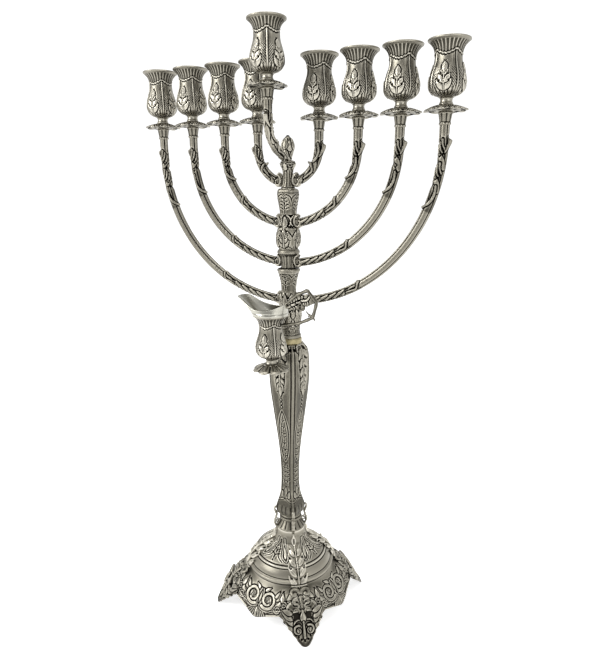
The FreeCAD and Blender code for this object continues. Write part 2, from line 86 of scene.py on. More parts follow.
def flowing(points, step):
    """Evenly spaced points on a smooth curve through the given ones."""
    points = np.asarray(points, float)
    ends = [2 * points[0] - points[1], 2 * points[-1] - points[-2]]
    knots = np.vstack([ends[:1], points, ends[1:]])
    t = np.linspace(0, 1, 16, endpoint=False)[:, None]
    parts = []
    for a, b, c, d in zip(knots, knots[1:], knots[2:], knots[3:]):
        parts.append(0.5 * (2 * b + (c - a) * t + (2 * a - 5 * b + 4 * c - d) * t ** 2
                            + (3 * b - a - 3 * c + d) * t ** 3))
    return resampled(np.vstack(parts + [points[-1:]]), step)


def moulded(points, step, softness=0.25):
    """Evenly spaced points on a line of straight runs whose corners are rounded by the softness."""
    line = resampled(points, step)
    cells = max(1, int(round(softness / step * 2)))
    kernel = np.hanning(2 * cells + 3)[1:-1]
    kernel /= kernel.sum()
    wide = np.pad(line, [(cells, cells), (0, 0)], mode="reflect", reflect_type="odd")
    return np.stack([np.convolve(wide[:, k], kernel, "valid") for k in range(line.shape[1])], 1)


def round_angles(columns):
    """Angles spaced evenly round a whole turn, the last one short of it."""
    return np.arange(columns) / columns * TURN


def quarter_angles(columns):
    """Angles across one of four like panels, none of them on its edges."""
    return (np.arange(columns) + 0.5) / columns * TURN / 4 - TURN / 8


def four_times(panel):
    """The angles of a panel, repeated for all four."""
    return np.concatenate([panel + k * TURN / 4 for k in range(4)])


def in_xz(line):
    """A line of (x, z) points as points in the XZ plane."""
    return np.stack([line[:, 0], 0 * line[:, 0], line[:, 1]], 1)


def tangents(line):
    """Unit vectors along a line at each of its points."""
    along = np.gradient(line, axis=0)
    return along / np.linalg.norm(along, axis=1, keepdims=True)


def arc_run(line):
    """Distance run along a line at each of its points."""
    return np.r_[0, np.cumsum(np.linalg.norm(np.diff(line, axis=0), axis=1))]


def turned_grid(profile, angles, shape=None):
    """Grid of points round the axis from (radius, z) rows; shape is the radius factor at (row, angle)."""
    radius = profile[:, :1] * np.ones_like(angles)[None]
    if shape is not None:
        radius = radius * shape
    return np.stack([radius * np.cos(angles), radius * np.sin(angles),
                     profile[:, 1:] * np.ones_like(angles)[None]], -1)


def square_factor(angles, roundness):
    """Radius of a rounded square over its corner distance; the corners are at odd eighths of a turn."""
    off = np.abs((angles + TURN / 8) % (TURN / 4) - TURN / 8)
    half = 1 / (math.sqrt(2) - roundness * (math.sqrt(2) - 1))
    fillet = roundness * half
    flat = half - fillet
    lean = flat * (np.cos(off) + np.sin(off))
    bulge = lean + np.sqrt(np.maximum(lean ** 2 - 2 * flat ** 2 + fillet ** 2, 0))
    return np.where(np.tan(off) <= flat / half, half / np.cos(off), bulge)


def blurred(field, row_cells, column_cells, closed):
    """Field of a grid smoothed by a bell curve of so many cells along rows and columns."""
    pad = int(3 * row_cells) + 2
    side = 0 if closed else int(3 * column_cells) + 2
    wide = np.pad(field, [(pad, pad), (side, side)] + [(0, 0)] * (field.ndim - 2), mode="edge")
    down = np.fft.fftfreq(wide.shape[0])[:, None]
    over = np.fft.rfftfreq(wide.shape[1])[None]
    gain = np.exp(-2 * math.pi ** 2 * ((down * row_cells) ** 2 + (over * column_cells) ** 2))
    gain = gain.reshape(gain.shape + (1,) * (field.ndim - 2))
    soft = np.fft.irfft2(np.fft.rfft2(wide, axes=(0, 1)) * gain, s=wide.shape[:2], axes=(0, 1))
    return soft[pad:-pad, side:wide.shape[1] - side]


def facing(points, closed):
    """Unit normals of a grid: columns run round to the left, rows run up, normals point out."""
    if closed:
        across = np.roll(points, -1, 1) - np.roll(points, 1, 1)
    else:
        across = np.gradient(points, axis=1)
    normal = np.cross(across, np.gradient(points, axis=0))
    return normal / np.maximum(np.linalg.norm(normal, axis=-1, keepdims=True), 1e-9)


WEAR_AND_SHADE_SCALES = ((0.45, 0.9), (1.2, 1.1), (2.6, 0.7))      # width in millimetres, weight
SHAPE_SHARE = 0.35          # how much the shape under the ornament counts beside the ornament; its hollows add painted shade


def wear_and_shade(points, closed, h=None):
    """How much use has polished each point, with patina and painted shade in its hollows: 0 deep in a hollow,
    about 0.6 on plain ground, 1 on a crest.
    """
    normal = facing(points, closed)
    row_step = np.median(np.linalg.norm(np.diff(points, axis=0), axis=-1))
    column_step = max(np.median(np.linalg.norm(np.diff(points, axis=1), axis=-1)), 0.02)
    hollow = 0
    for width, weight in WEAR_AND_SHADE_SCALES:
        cells = (width / row_step, width / column_step)
        sunk = ((blurred(points, *cells, closed) - points) * normal).sum(-1)
        if h is not None:
            sunk = SHAPE_SHARE * sunk + (1 - 0.5 * SHAPE_SHARE) * (blurred(h, *cells, closed) - h)
        hollow = hollow + weight * sunk / width
    return 0.6 - np.where(hollow > 0, 0.6 * np.tanh(2.0 * hollow), 0.4 * np.tanh(1.15 * hollow))


# ---- relief -------------------------------------------------------------------------------
EDGE_WIDTH = 0.45           # millimetres over which the edge of a form rises


class Relief:
    """Height of ornament over a smooth surface; u runs across it and v up it, in millimetres."""

    def __init__(self, u, v, period=None):
        self.u, self.v = np.broadcast_arrays(u, v)
        self.h = np.zeros(self.u.shape)
        self.period = period

    def beside(self, u):
        """Distance across from a place, the short way round."""
        gap = self.u - u
        if self.period:
            gap = (gap + self.period / 2) % self.period - self.period / 2
        return gap

    def lay(self, where, outside, crown, groove):
        """Lays a form on what is there; outside is the distance beyond its outline, groove a cut round it."""
        cover = np.clip(0.5 - outside / EDGE_WIDTH, 0, 1)
        cut = 1.5 * groove * bell(np.clip(outside, 0, None), 1.0)
        self.h[where] = (self.h[where] - cut) * (1 - cover) + crown * cover

    def leaf(self, at, aim, length, width, height=0.9, bend=0.0, lobes=0, pitch=0, groove=0.5, full=0.75):
        """Leaf from a base point; aim in degrees, 90 is up. Bend curls its tip and lobes cut its edge; veins
        stand a pitch apart."""
        gap = self.beside(at[0])
        rise = self.v - at[1]
        reach = length * (1 + abs(bend)) + width / 2
        where = np.nonzero((np.abs(gap) < reach) & (np.abs(rise) < reach))
        x, y = gap[where], rise[where]
        c, s = math.cos(math.radians(aim)), math.sin(math.radians(aim))
        along, across = x * c + y * s, y * c - x * s
        share = np.clip(along / length, 0, 1)
        across = across - bend * length * share ** 2
        half = width / 2 * np.sin(math.pi * share ** full) ** 0.8 + 0.05
        if lobes:
            half = half * (1.06 - 0.34 * np.cos(math.pi * (lobes * share + 0.1)) ** 2)
        outside = np.maximum(np.abs(across) - half, np.maximum(-along, along - length))
        crown = 0.35 + 0.65 * np.sqrt(np.clip(1 - (across / half) ** 2, 0, 1))
        crown = crown + 0.16 * bell(across, 0.4)
        if pitch:
            crown = crown - 0.06 * (1 + np.cos(TURN * (along - 0.9 * np.abs(across)) / pitch))
        self.lay(where, outside, height * crown, groove)

    def near(self, path, spare):
        """Where the surface lies within a spare distance of a line, how far from it, and how far along it."""
        path = np.asarray(path, float)
        u = self.beside(path[0, 0]) + path[0, 0]
        low_end, high_end = path.min(0) - spare, path.max(0) + spare
        where = np.nonzero((u > low_end[0]) & (u < high_end[0])
                           & (self.v > low_end[1]) & (self.v < high_end[1]))
        x, y = u[where], self.v[where]
        best = np.full(x.shape, 1e9)
        share = np.zeros(x.shape)
        run = arc_run(path) / max(arc_run(path)[-1], 1e-6)
        for k, step in enumerate(np.diff(path, axis=0)):
            passed = (x - path[k, 0]) * step[0] + (y - path[k, 1]) * step[1]
            t = np.clip(passed / max(step @ step, 1e-9), 0, 1)
            d = np.hypot(x - path[k, 0] - t * step[0], y - path[k, 1] - t * step[1])
            closer = d < best
            best[closer] = d[closer]
            share[closer] = (run[k] + t * (run[k + 1] - run[k]))[closer]
        return where, best, share

    def ridge(self, path, width, height, taper=(1.0, 1.0), groove=0.35, vein=0.0):
        """Rounded ridge along a line of (u, v) points; vein cuts a line down its middle."""
        where, best, share = self.near(path, width)
        scale = taper[0] + (taper[1] - taper[0]) * share
        half = np.maximum(width / 2 * scale, 0.15)
        crown = height * scale ** 0.5 * np.sqrt(np.clip(1.05 - (best / half) ** 2, 0, 1))
        if vein:
            crown = crown - vein * bell(best, 0.3)
        self.lay(where, best - half, crown, groove)

    def engrave(self, path, width=0.9, depth=0.55):
        """Cut line along (u, v) points, with a faint raised edge beside it."""
        where, best, _ = self.near(path, 3)
        self.h[where] -= depth * (bell(best, width / 2) - 0.35 * bell(best - width, width / 2))

    def spray(self, start, end, bulge, fronds, length, width=0.9, depth=0.55):
        """Engraved stem with fronds curling off it on both sides, shorter towards its tip."""
        stem = bow(start, end, bulge)
        self.engrave(stem, width, depth)
        for k in range(fronds):
            at = (k + 0.5) / fronds
            i = int(at * (len(stem) - 2))
            aim = math.atan2(*(stem[i + 1] - stem[i])[::-1])
            reach = length * (1 - 0.45 * at)
            for side in (-1, 1):
                tip = stem[i] + reach * np.array([math.cos(aim + 0.75 * side), math.sin(aim + 0.75 * side)])
                self.engrave(bow(stem[i], tip, -0.22 * side, 6), width, depth)

    def bead(self, at, radius, height, groove=0.3):
        gap = self.beside(at[0])
        rise = self.v - at[1]
        where = np.nonzero((np.abs(gap) < 2 * radius + 1) & (np.abs(rise) < 2 * radius + 1))
        d = np.hypot(gap[where], rise[where])
        crown = height * np.sqrt(np.clip(1.05 - (d / radius) ** 2, 0, 1))
        self.lay(where, d - radius, crown, groove)

    def pit(self, at, wide, tall, depth, lean=0.0):
        """Hollow, wide by tall, leaning by so many degrees, which the colour map paints dark as patina and
        painted shade.
        """
        gap = self.beside(at[0])
        rise = self.v - at[1]
        c, s = math.cos(math.radians(lean)), math.sin(math.radians(lean))
        x, y = gap * c + rise * s, rise * c - gap * s
        self.h -= depth * np.exp(-((x / wide * 2) ** 2 + (y / tall * 2) ** 2) ** 1.5)

    def mirror(self):
        """Copies the right half, u above 0, over the left one."""
        self.h = np.where(self.u < 0, self.h[:, ::-1], self.h)


def spiral(at, radius, turns, start, hand=1, steps=34):
    """Points of a scroll from its outer end inwards; start in degrees, hand 1 winds to the left."""
    t = np.linspace(0, 1, steps)
    reach = radius * (0.12 + (1 - 0.12) * (1 - t) ** 0.85)
    angle = math.radians(start) + hand * TURN * turns * t
    return np.stack([at[0] + reach * np.cos(angle), at[1] + reach * np.sin(angle)], 1)


def bow(start, end, bulge, steps=14):
    """Points of a curved line that bulges to the left of its run by a share of its length."""
    start, end = np.asarray(start, float), np.asarray(end, float)
    t = np.linspace(0, 1, steps)[:, None]
    left = np.array([start[1] - end[1], end[0] - start[0]])
    return start + (end - start) * t + left * bulge * 4 * t * (1 - t)


def band(x, low_end, high_end, soft=0.6):
    """1 between two ends, falling smoothly to 0 outside them."""
    rise = np.clip((x - low_end) / soft + 0.5, 0, 1)
    fall = np.clip((high_end - x) / soft + 0.5, 0, 1)
    return rise * rise * (3 - 2 * rise) * fall * fall * (3 - 2 * fall)


rng = np.random.default_rng(11)


def stipple(shape, soft=1.2):
    """Even random pitting, between about -1 and 1."""
    field = blurred(rng.standard_normal(shape), soft, soft, False)
    return field / np.abs(field).max() * 1.6


# ---- meshes -------------------------------------------------------------------------------
FINE_SHARE, FINE_LIMIT, BOLD_SHARE = 0.62, 1.3, 1.3


def eased(h):
    """Relief with its fine parts lowered; what stands further out than the limit is raised."""
    fine = np.clip(h, -FINE_LIMIT, FINE_LIMIT)
    return FINE_SHARE * fine + (h - fine) * BOLD_SHARE


def grid_mesh(name, points, closed=True, h=None, keep=None, material=None, carved=None, tone=0.0):
    """Mesh over a grid of points in millimetres, raised by h along its normals.
    carved is relief that the points already hold. Each point stores how polished it is, with patina and
    painted shade in hollows; tone makes the piece, or rows of it, darker or brighter: a painted highlight on
    the cups' necks and painted shade on the roots."""
    if h is not None:
        points = points + eased(h)[..., None] * facing(points, closed)
    rows, columns = points.shape[:2]
    index = np.arange(rows * columns).reshape(rows, columns)
    if closed:
        index = np.hstack([index, index[:, :1]])
    quads = np.stack([index[:-1, :-1], index[:-1, 1:], index[1:, 1:], index[1:, :-1]], -1)
    if keep is not None:
        quads = quads[keep]
    quads = quads.reshape(-1, 4)
    mesh = bpy.data.meshes.new(name)
    mesh.vertices.add(rows * columns)
    mesh.vertices.foreach_set("co", (points * MM).astype(np.float32).ravel())
    mesh.loops.add(quads.size)
    mesh.loops.foreach_set("vertex_index", quads.astype(np.int32).ravel())
    mesh.polygons.add(len(quads))
    mesh.polygons.foreach_set("loop_start", np.arange(0, quads.size, 4, dtype=np.int32))
    mesh.polygons.foreach_set("use_smooth", np.ones(len(quads), bool))
    mesh.update(calc_edges=True)
    worn_and_shaded = mesh.attributes.new("worn_and_shaded", "FLOAT", "POINT")
    rubbed_and_shaded = wear_and_shade(points, closed, h if carved is None else carved) + tone
    worn_and_shaded.data.foreach_set("value", rubbed_and_shaded.astype(np.float32).ravel())
    mesh.materials.append(material or silver)
    return mesh


def place(name, mesh, body, nodes=(), at=(0, 0, 0), turn=0.0, slot="antique_silver"):
    """A piece that shows a mesh at a place in millimetres, turned about its own upright axis by radians."""
    piece = bpy.data.objects.new(name, mesh)
    bpy.context.scene.collection.objects.link(piece)
    piece.location = [x * MM for x in at]
    piece.rotation_euler = (0, 0, turn)
    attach(piece, body)
    if nodes:
        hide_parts(*nodes)
    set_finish(piece, slot)


# ---- materials ----------------------------------------------------------------------------
def add_node(tree, kind, **values):
    """A new node; each named attribute or input takes the value or the link given for it."""
    made = tree.nodes.new(kind)
    for key, value in values.items():
        if hasattr(made, key):
            setattr(made, key, value)
        elif isinstance(value, bpy.types.NodeSocket):
            tree.links.new(value, made.inputs[key])
        else:
            made.inputs[key].default_value = value
    return made


def noise(tree, **values):
    """Noise fixed to the piece."""
    where = tree.nodes.new("ShaderNodeTexCoord").outputs["Object"]
    return add_node(tree, "ShaderNodeTexNoise", Vector=where, **values).outputs["Fac"]


def remapped(tree, value, to_min, to_max, from_min=0.0, from_max=1.0):
    """Output that runs from one end of a range to the other as a value does."""
    ends = {"From Min": from_min, "From Max": from_max, "To Min": to_min, "To Max": to_max}
    return add_node(tree, "ShaderNodeMapRange", Value=value, **ends).outputs["Result"]


def coloured(tree, value, ramp):
    """Colour that follows a value along a ramp of (place, colour)."""
    colours = add_node(tree, "ShaderNodeValToRGB", Fac=value)
    elements = colours.color_ramp.elements
    while len(elements) < len(ramp):
        elements.new(0.5)
    for element, (at, colour) in zip(elements, ramp):
        element.position = at
        element.color = (*colour, 1)
    return colours.outputs["Color"]


def finished(name, dress):
    """A new material; dress fills its tree and returns what goes into the shader's inputs."""
    material = bpy.data.materials.new(name)
    material.use_nodes = True
    tree = material.node_tree
    shader = tree.nodes["Principled BSDF"]
    for key, value in dress(tree).items():
        if isinstance(value, bpy.types.NodeSocket):
            tree.links.new(value, shader.inputs[key])
        else:
            shader.inputs[key].default_value = value
    return material


def shaded_worn_metal(name, ramp, roughness, grain, bump):
    """Metal polished by use: colour and roughness follow how polished each point is and the patina and
    painted shade in its hollows, under a fine grain.
    """
    def dress(tree):
        worn_and_shaded = add_node(tree, "ShaderNodeAttribute", attribute_name="worn_and_shaded").outputs["Fac"]
        patches = noise(tree, Scale=70.0, Detail=4.0, Roughness=0.6)
        fine = noise(tree, Scale=1400.0, Detail=3.0, Roughness=0.65)
        total = worn_and_shaded
        for field, share in ((patches, grain), (fine, grain * 0.8)):
            both = add_node(tree, "ShaderNodeMath", operation="ADD")
            tree.links.new(total, both.inputs[0])
            tree.links.new(remapped(tree, field, -share, share), both.inputs[1])
            total = both.outputs["Value"]
        relief = add_node(tree, "ShaderNodeBump", Height=fine, Strength=bump, Distance=0.0004)
        return {"Base Color": coloured(tree, total, ramp), "Metallic": 1.0,
                "Roughness": remapped(tree, total, *roughness, 0.15, 0.85),
                "Normal": relief.outputs["Normal"]}
    return finished(name, dress)


# colour over that map: near black in hollows, as patina and painted shade, light grey on crests polished by
# use
SILVER_RAMP = ((0.04, (0.004, 0.0036, 0.003)), (0.28, (0.022, 0.020, 0.016)), (0.45, (0.085, 0.079, 0.063)),
               (0.60, (0.205, 0.192, 0.156)), (0.80, (0.33, 0.312, 0.262)), (1.0, (0.52, 0.495, 0.425)))
silver = shaded_worn_metal("antique_silver", SILVER_RAMP, (0.6, 0.33), 0.045, 0.25)


def plain_metal(name, base, rough, grain=0.12, scale=220.0, bump=0.15):
    """Machined metal with faint patches and grain."""
    def dress(tree):
        patches = noise(tree, Scale=scale, Detail=5.0)
        dark = [c * (1 - grain * 2) for c in base]
        relief = add_node(tree, "ShaderNodeBump", Height=patches, Strength=bump, Distance=0.0002)
        return {"Base Color": coloured(tree, patches, ((0.3, dark), (0.7, base))), "Metallic": 1.0,
                "Roughness": remapped(tree, patches, rough + grain, rough - grain * 0.5),
                "Normal": relief.outputs["Normal"]}
    return finished(name, dress)


polished = plain_metal("bright_silver", (0.38, 0.372, 0.325), 0.28, grain=0.03, scale=60.0, bump=0.0)
brass = plain_metal("raw_brass", (0.33, 0.285, 0.165), 0.4)
steel = plain_metal("steel_rod", (0.42, 0.41, 0.40), 0.38)
plain_silver = plain_metal("plain_silver", (0.15, 0.14, 0.115), 0.42, grain=0.1)


# ---- lights: cups, pans and ferrules ------------------------------------------------------
CUP_WALL_OUTSIDE = [(2.6, 0.0), (6.3, 0.0), (6.9, 0.5), (6.7, 1.3), (5.9, 2.4), (5.7, 4.2), (6.1, 5.8),
                    (7.4, 6.6), (8.4, 7.6)]
CUP_BOWL = [(8.4, 7.6), (11.8, 8.7), (15.0, 11.2), (16.9, 14.9), (17.3, 19.2), (16.6, 25.2), (14.8, 31.4),
            (13.2, 37.0), (12.7, 42.5), (13.2, 47.0), (14.8, 51.0), (17.4, 54.0), (18.9, 55.2)]
CUP_LIP = [(18.9, 55.2), (19.9, 55.7), (20.0, 57.0), (19.4, 57.4), (18.5, 57.1)]
CUP_LINING = [(18.5, 57.1), (14.2, 52.4), (12.0, 47.5), (11.2, 42.5), (11.7, 37.0), (13.0, 31.5),
              (14.6, 25.5), (15.2, 20.5), (14.4, 16.4), (11.2, 12.9), (0.3, 12.4)]
CUP_COLUMNS = 64            # grid columns in each of a cup's four panels


def cup_relief(outer, angles):
    """Relief of one panel of a cup, from rib to rib: leaves, gadroons, a beaded swag and flutes."""
    radius, z = outer[:, :1], outer[:, 1:]
    relief = Relief(radius * angles[None], z)
    share = np.abs(angles / (TURN / 8))[None]        # 0 mid-panel, 1 at the ribs
    edge = radius * (TURN / 8)
    beside = edge - relief.u
    feather = np.cos(TURN * (relief.v - 1.3 * beside) / 2.6)
    relief.h += 0.36 * feather * band(beside, 1.8, 5.6, 0.7) * band(relief.v, 13, 31, 4)
    gadroon = np.abs(np.sin(angles * 12))[None] ** 0.6
    relief.h += (1.5 * gadroon - 1.3) * band(relief.v, 7.4, 14.5, 4.5)
    relief.leaf((0.4, 10.8), 50, 12.0, 4.8, 0.9, bend=0.1, groove=0.8, full=1.0)
    relief.leaf((0.4, 17.2), 50, 9.4, 4.6, 1.1, bend=0.12, groove=1.0, full=1.0)
    relief.leaf((0.2, 24.0), 66, 7.0, 4.2, 1.1, bend=0.1, groove=0.8, full=1.1)
    relief.leaf((0.0, 26.0), 90, 10.4, 5.4, 1.3, groove=0.8, full=1.1)
    relief.ridge([(0, 9.5), (0, 27.0)], 1.3, 1.1, (0.6, 0.8), groove=0.4)
    relief.pit((3.2, 25.6), 2.1, 3.6, 1.6, 25)
    relief.pit((4.6, 19.4), 2.2, 2.6, 1.4, 35)
    relief.mirror()
    side = np.minimum(np.abs(relief.u - edge), np.abs(relief.u + edge))
    rib = 0.95 * bell(side, 0.6) - 0.42 * bell(side - 1.45, 0.45)
    rib -= 0.22 * bell(side - 2.9, 0.4)
    relief.h += rib * band(relief.v, 8.5, 46.0, 3.0)
    swag = 43.6 + 4.0 * share ** 1.6
    flute = np.cos(angles * 28)[None]
    pleat = 0.36 * np.exp(-((1 - flute) / 0.22)) - 0.2 * (0.5 - 0.5 * flute) ** 0.5
    relief.h = np.where(relief.v > swag, pleat * band(relief.v, 30, 54.2, 1.2), relief.h)
    above = relief.v - swag
    bead = np.abs(np.cos(angles * 12))[None] ** 0.7
    above = above + 0.8 * bead
    relief.h += (0.35 + 0.75 * bead) * bell(above - 0.2, 0.65)
    relief.h -= 0.85 * bell(above + 1.2, 0.55)
    relief.h -= 0.35 * bell(above - 1.5, 0.5)
    return relief.h


def cup_mesh(name):
    """One cup, the foot of its neck at z 0."""
    neck = moulded(CUP_WALL_OUTSIDE, 0.3, 0.3)
    bowl = flowing(CUP_BOWL, 0.4)[1:]
    lip = moulded(CUP_LIP, 0.3, 0.3)[1:]
    lining = flowing(CUP_LINING, 0.9)[1:]
    profile = np.vstack([neck, bowl, lip, lining])
    panel = quarter_angles(CUP_COLUMNS)
    h = np.zeros((len(profile), CUP_COLUMNS))
    rows = slice(len(neck) - 3, len(neck) + len(bowl))
    h[rows] = cup_relief(profile[rows], panel)
    # painted highlight: the outside of the neck is made brighter in colour
    neck_highlight = 0.24 * bell(profile[:, 1:] - 4.0, 3.0) * (profile[:, :1] > 4)
    points = turned_grid(profile, four_times(panel))
    return grid_mesh(name, points, h=np.tile(h, 4), tone=neck_highlight)


PETAL_COLUMNS = 208         # of a drip pan, and of the jug's foot
PAN_PROFILE = [(2.6, 0.0), (7.0, 0.0), (12.0, 1.4), (17.0, 1.6), (19.8, 0.3), (20.5, 0.7), (19.6, 1.9),
               (15.6, 3.6), (11.0, 5.0), (7.6, 5.9), (6.9, 6.1), (2.6, 6.1)]


def pan_mesh(name):
    """Drip pan with eight drooping petals, four of them longer, its underside at z 0."""
    profile = moulded(PAN_PROFILE, 0.3, 0.35)
    angles = round_angles(PETAL_COLUMNS)
    long_petal = bell((angles + TURN / 8) % (TURN / 4) - TURN / 8, 0.17)
    petal = np.abs(np.cos(4 * angles))
    outwards = np.clip((profile[:, :1] - 8) / 12.4, 0, 1)
    shape = 1 + outwards ** 2 * (0.052 * long_petal + 0.02 * petal - 0.02)[None]
    points = turned_grid(profile, angles, shape)
    points[..., 2] += outwards ** 3 * (0.55 - 0.55 * petal - 0.3 * long_petal)[None]
    radius = profile[:, :1]
    off = np.abs((angles + TURN / 16) % (TURN / 8) - TURN / 16)[None] * radius
    on_top = (np.arange(len(profile)) > np.argmax(profile[:, 0]) + 2)[:, None]
    fringe = (TURN / 16) * radius - off
    h = 0.8 * bell(off, 0.9) - 2.2 * bell(fringe, 1.1)
    h = h + 0.5 * np.cos(TURN * (radius - 1.3 * off) / 3.4) * band(off, 0.9, 6.4, 0.8)
    h = h - 2.0 * bell(off - 3.4, 1.1) * bell(radius - 17.0, 2.6)
    h = h * band(radius, 8.6, 20.6, 0.8) * on_top
    h = h + 0.3 * bell(radius - 20.4, 0.5) * on_top
    h = h - 0.7 * (0.5 - 0.5 * np.cos(8 * angles))[None] * band(radius, 9.0, 20.5, 1.5) * (1 - on_top)
    h = h - 0.5 * bell(radius - 8.2, 0.5) * on_top
    return grid_mesh(name, points, h=h)


FERRULE_COLUMNS = 104
FERRULE_PROFILE = [(2.5, 0.0), (5.2, 0.0), (5.7, 0.6), (5.8, 1.6), (5.4, 2.4), (5.4, 3.4), (5.9, 6.5),
                   (6.4, 9.6), (6.9, 10.4), (6.9, 11.3), (6.5, 11.9), (2.5, 11.9)]


def ferrule_mesh(name):
    """Tapered ferrule with upright facets and a scalloped, beaded foot at z 0."""
    profile = moulded(FERRULE_PROFILE, 0.22, 0.2)
    angles = round_angles(FERRULE_COLUMNS)
    z = profile[:, 1:]
    facet = np.abs(np.cos(4 * angles))[None] ** 0.5
    h = (0.8 * facet - 0.7) * band(z, 2.4, 10.2, 0.8)
    h = h + 0.3 * np.cos(12 * angles)[None] * bell(z - 1.3, 0.75)
    h = h - 0.25 * bell(z - 2.7, 0.35)
    wall = (profile[:, :1] > 5.0)
    return grid_mesh(name, turned_grid(profile, angles), h=h * wall, tone=-0.1)


LIGHTS = ["%s_%d" % (side, k) for side in ("left", "right") for k in (1, 2, 3, 4)] + ["servant"]
CLEAR = 0.06                # millimetres left between a ferrule and the pan that turns on it
SERVANT_TURN = math.radians(-15)     # the servant light is screwed home a little short of the others


def make_lights():
    cup, pan, ferrule = cup_mesh("cup"), pan_mesh("pan"), ferrule_mesh("ferrule")
    foot = low("ferrules")[2]
    rise = low("pan_servant")[2] - low("pan_left_1")[2]
    for light in LIGHTS:
        turn = SERVANT_TURN if light == "servant" else 0.0
        x, y, _ = centre("cup_" + light)
        body = "servant_cup_light" if light == "servant" else "cup_%s_light" % light
        place("cup_%s_relief" % light, cup, body, ["cup_" + light], (x, y, low("cup_" + light)[2]), turn)
        place("pan_%s_relief" % light, pan, body, ["pan_" + light], (x, y, low("pan_" + light)[2]), turn)
        foot_z = foot - CLEAR + (rise if light == "servant" else 0)
        place("ferrule_" + light, ferrule, "branch_section", ["ferrules"], (x, y, foot_z), turn)
    return cup


# ---- branches -----------------------------------------------------------------------------
ARM_COLUMNS = 64
ARM_RADIUS = 4.6
GIRTH = TURN * ARM_RADIUS
ARC_CENTRE_Z = 565.3
FERRULE_FOOT_Z = 580.5
COLLARS = {1: (59, 59), 2: (65, 47), 3: (67, 36), 4: (68, 31)}     # two leaf collars, degrees up the arc


def tube_grid(path, side, radius, columns):
    """Round tube about a path; side is the vector its first column faces, one or one for each point."""
    along = tangents(path)
    side = np.asarray(side, float)
    side = side - (side * along).sum(1, keepdims=True) * along
    side /= np.linalg.norm(side, axis=1, keepdims=True)
    across = np.cross(along, side)
    phi = round_angles(columns)
    ring = np.cos(phi)[None, :, None] * side[:, None] + np.sin(phi)[None, :, None] * across[:, None]
    return path[:, None] + ring * np.broadcast_to(radius, len(path))[:, None, None]


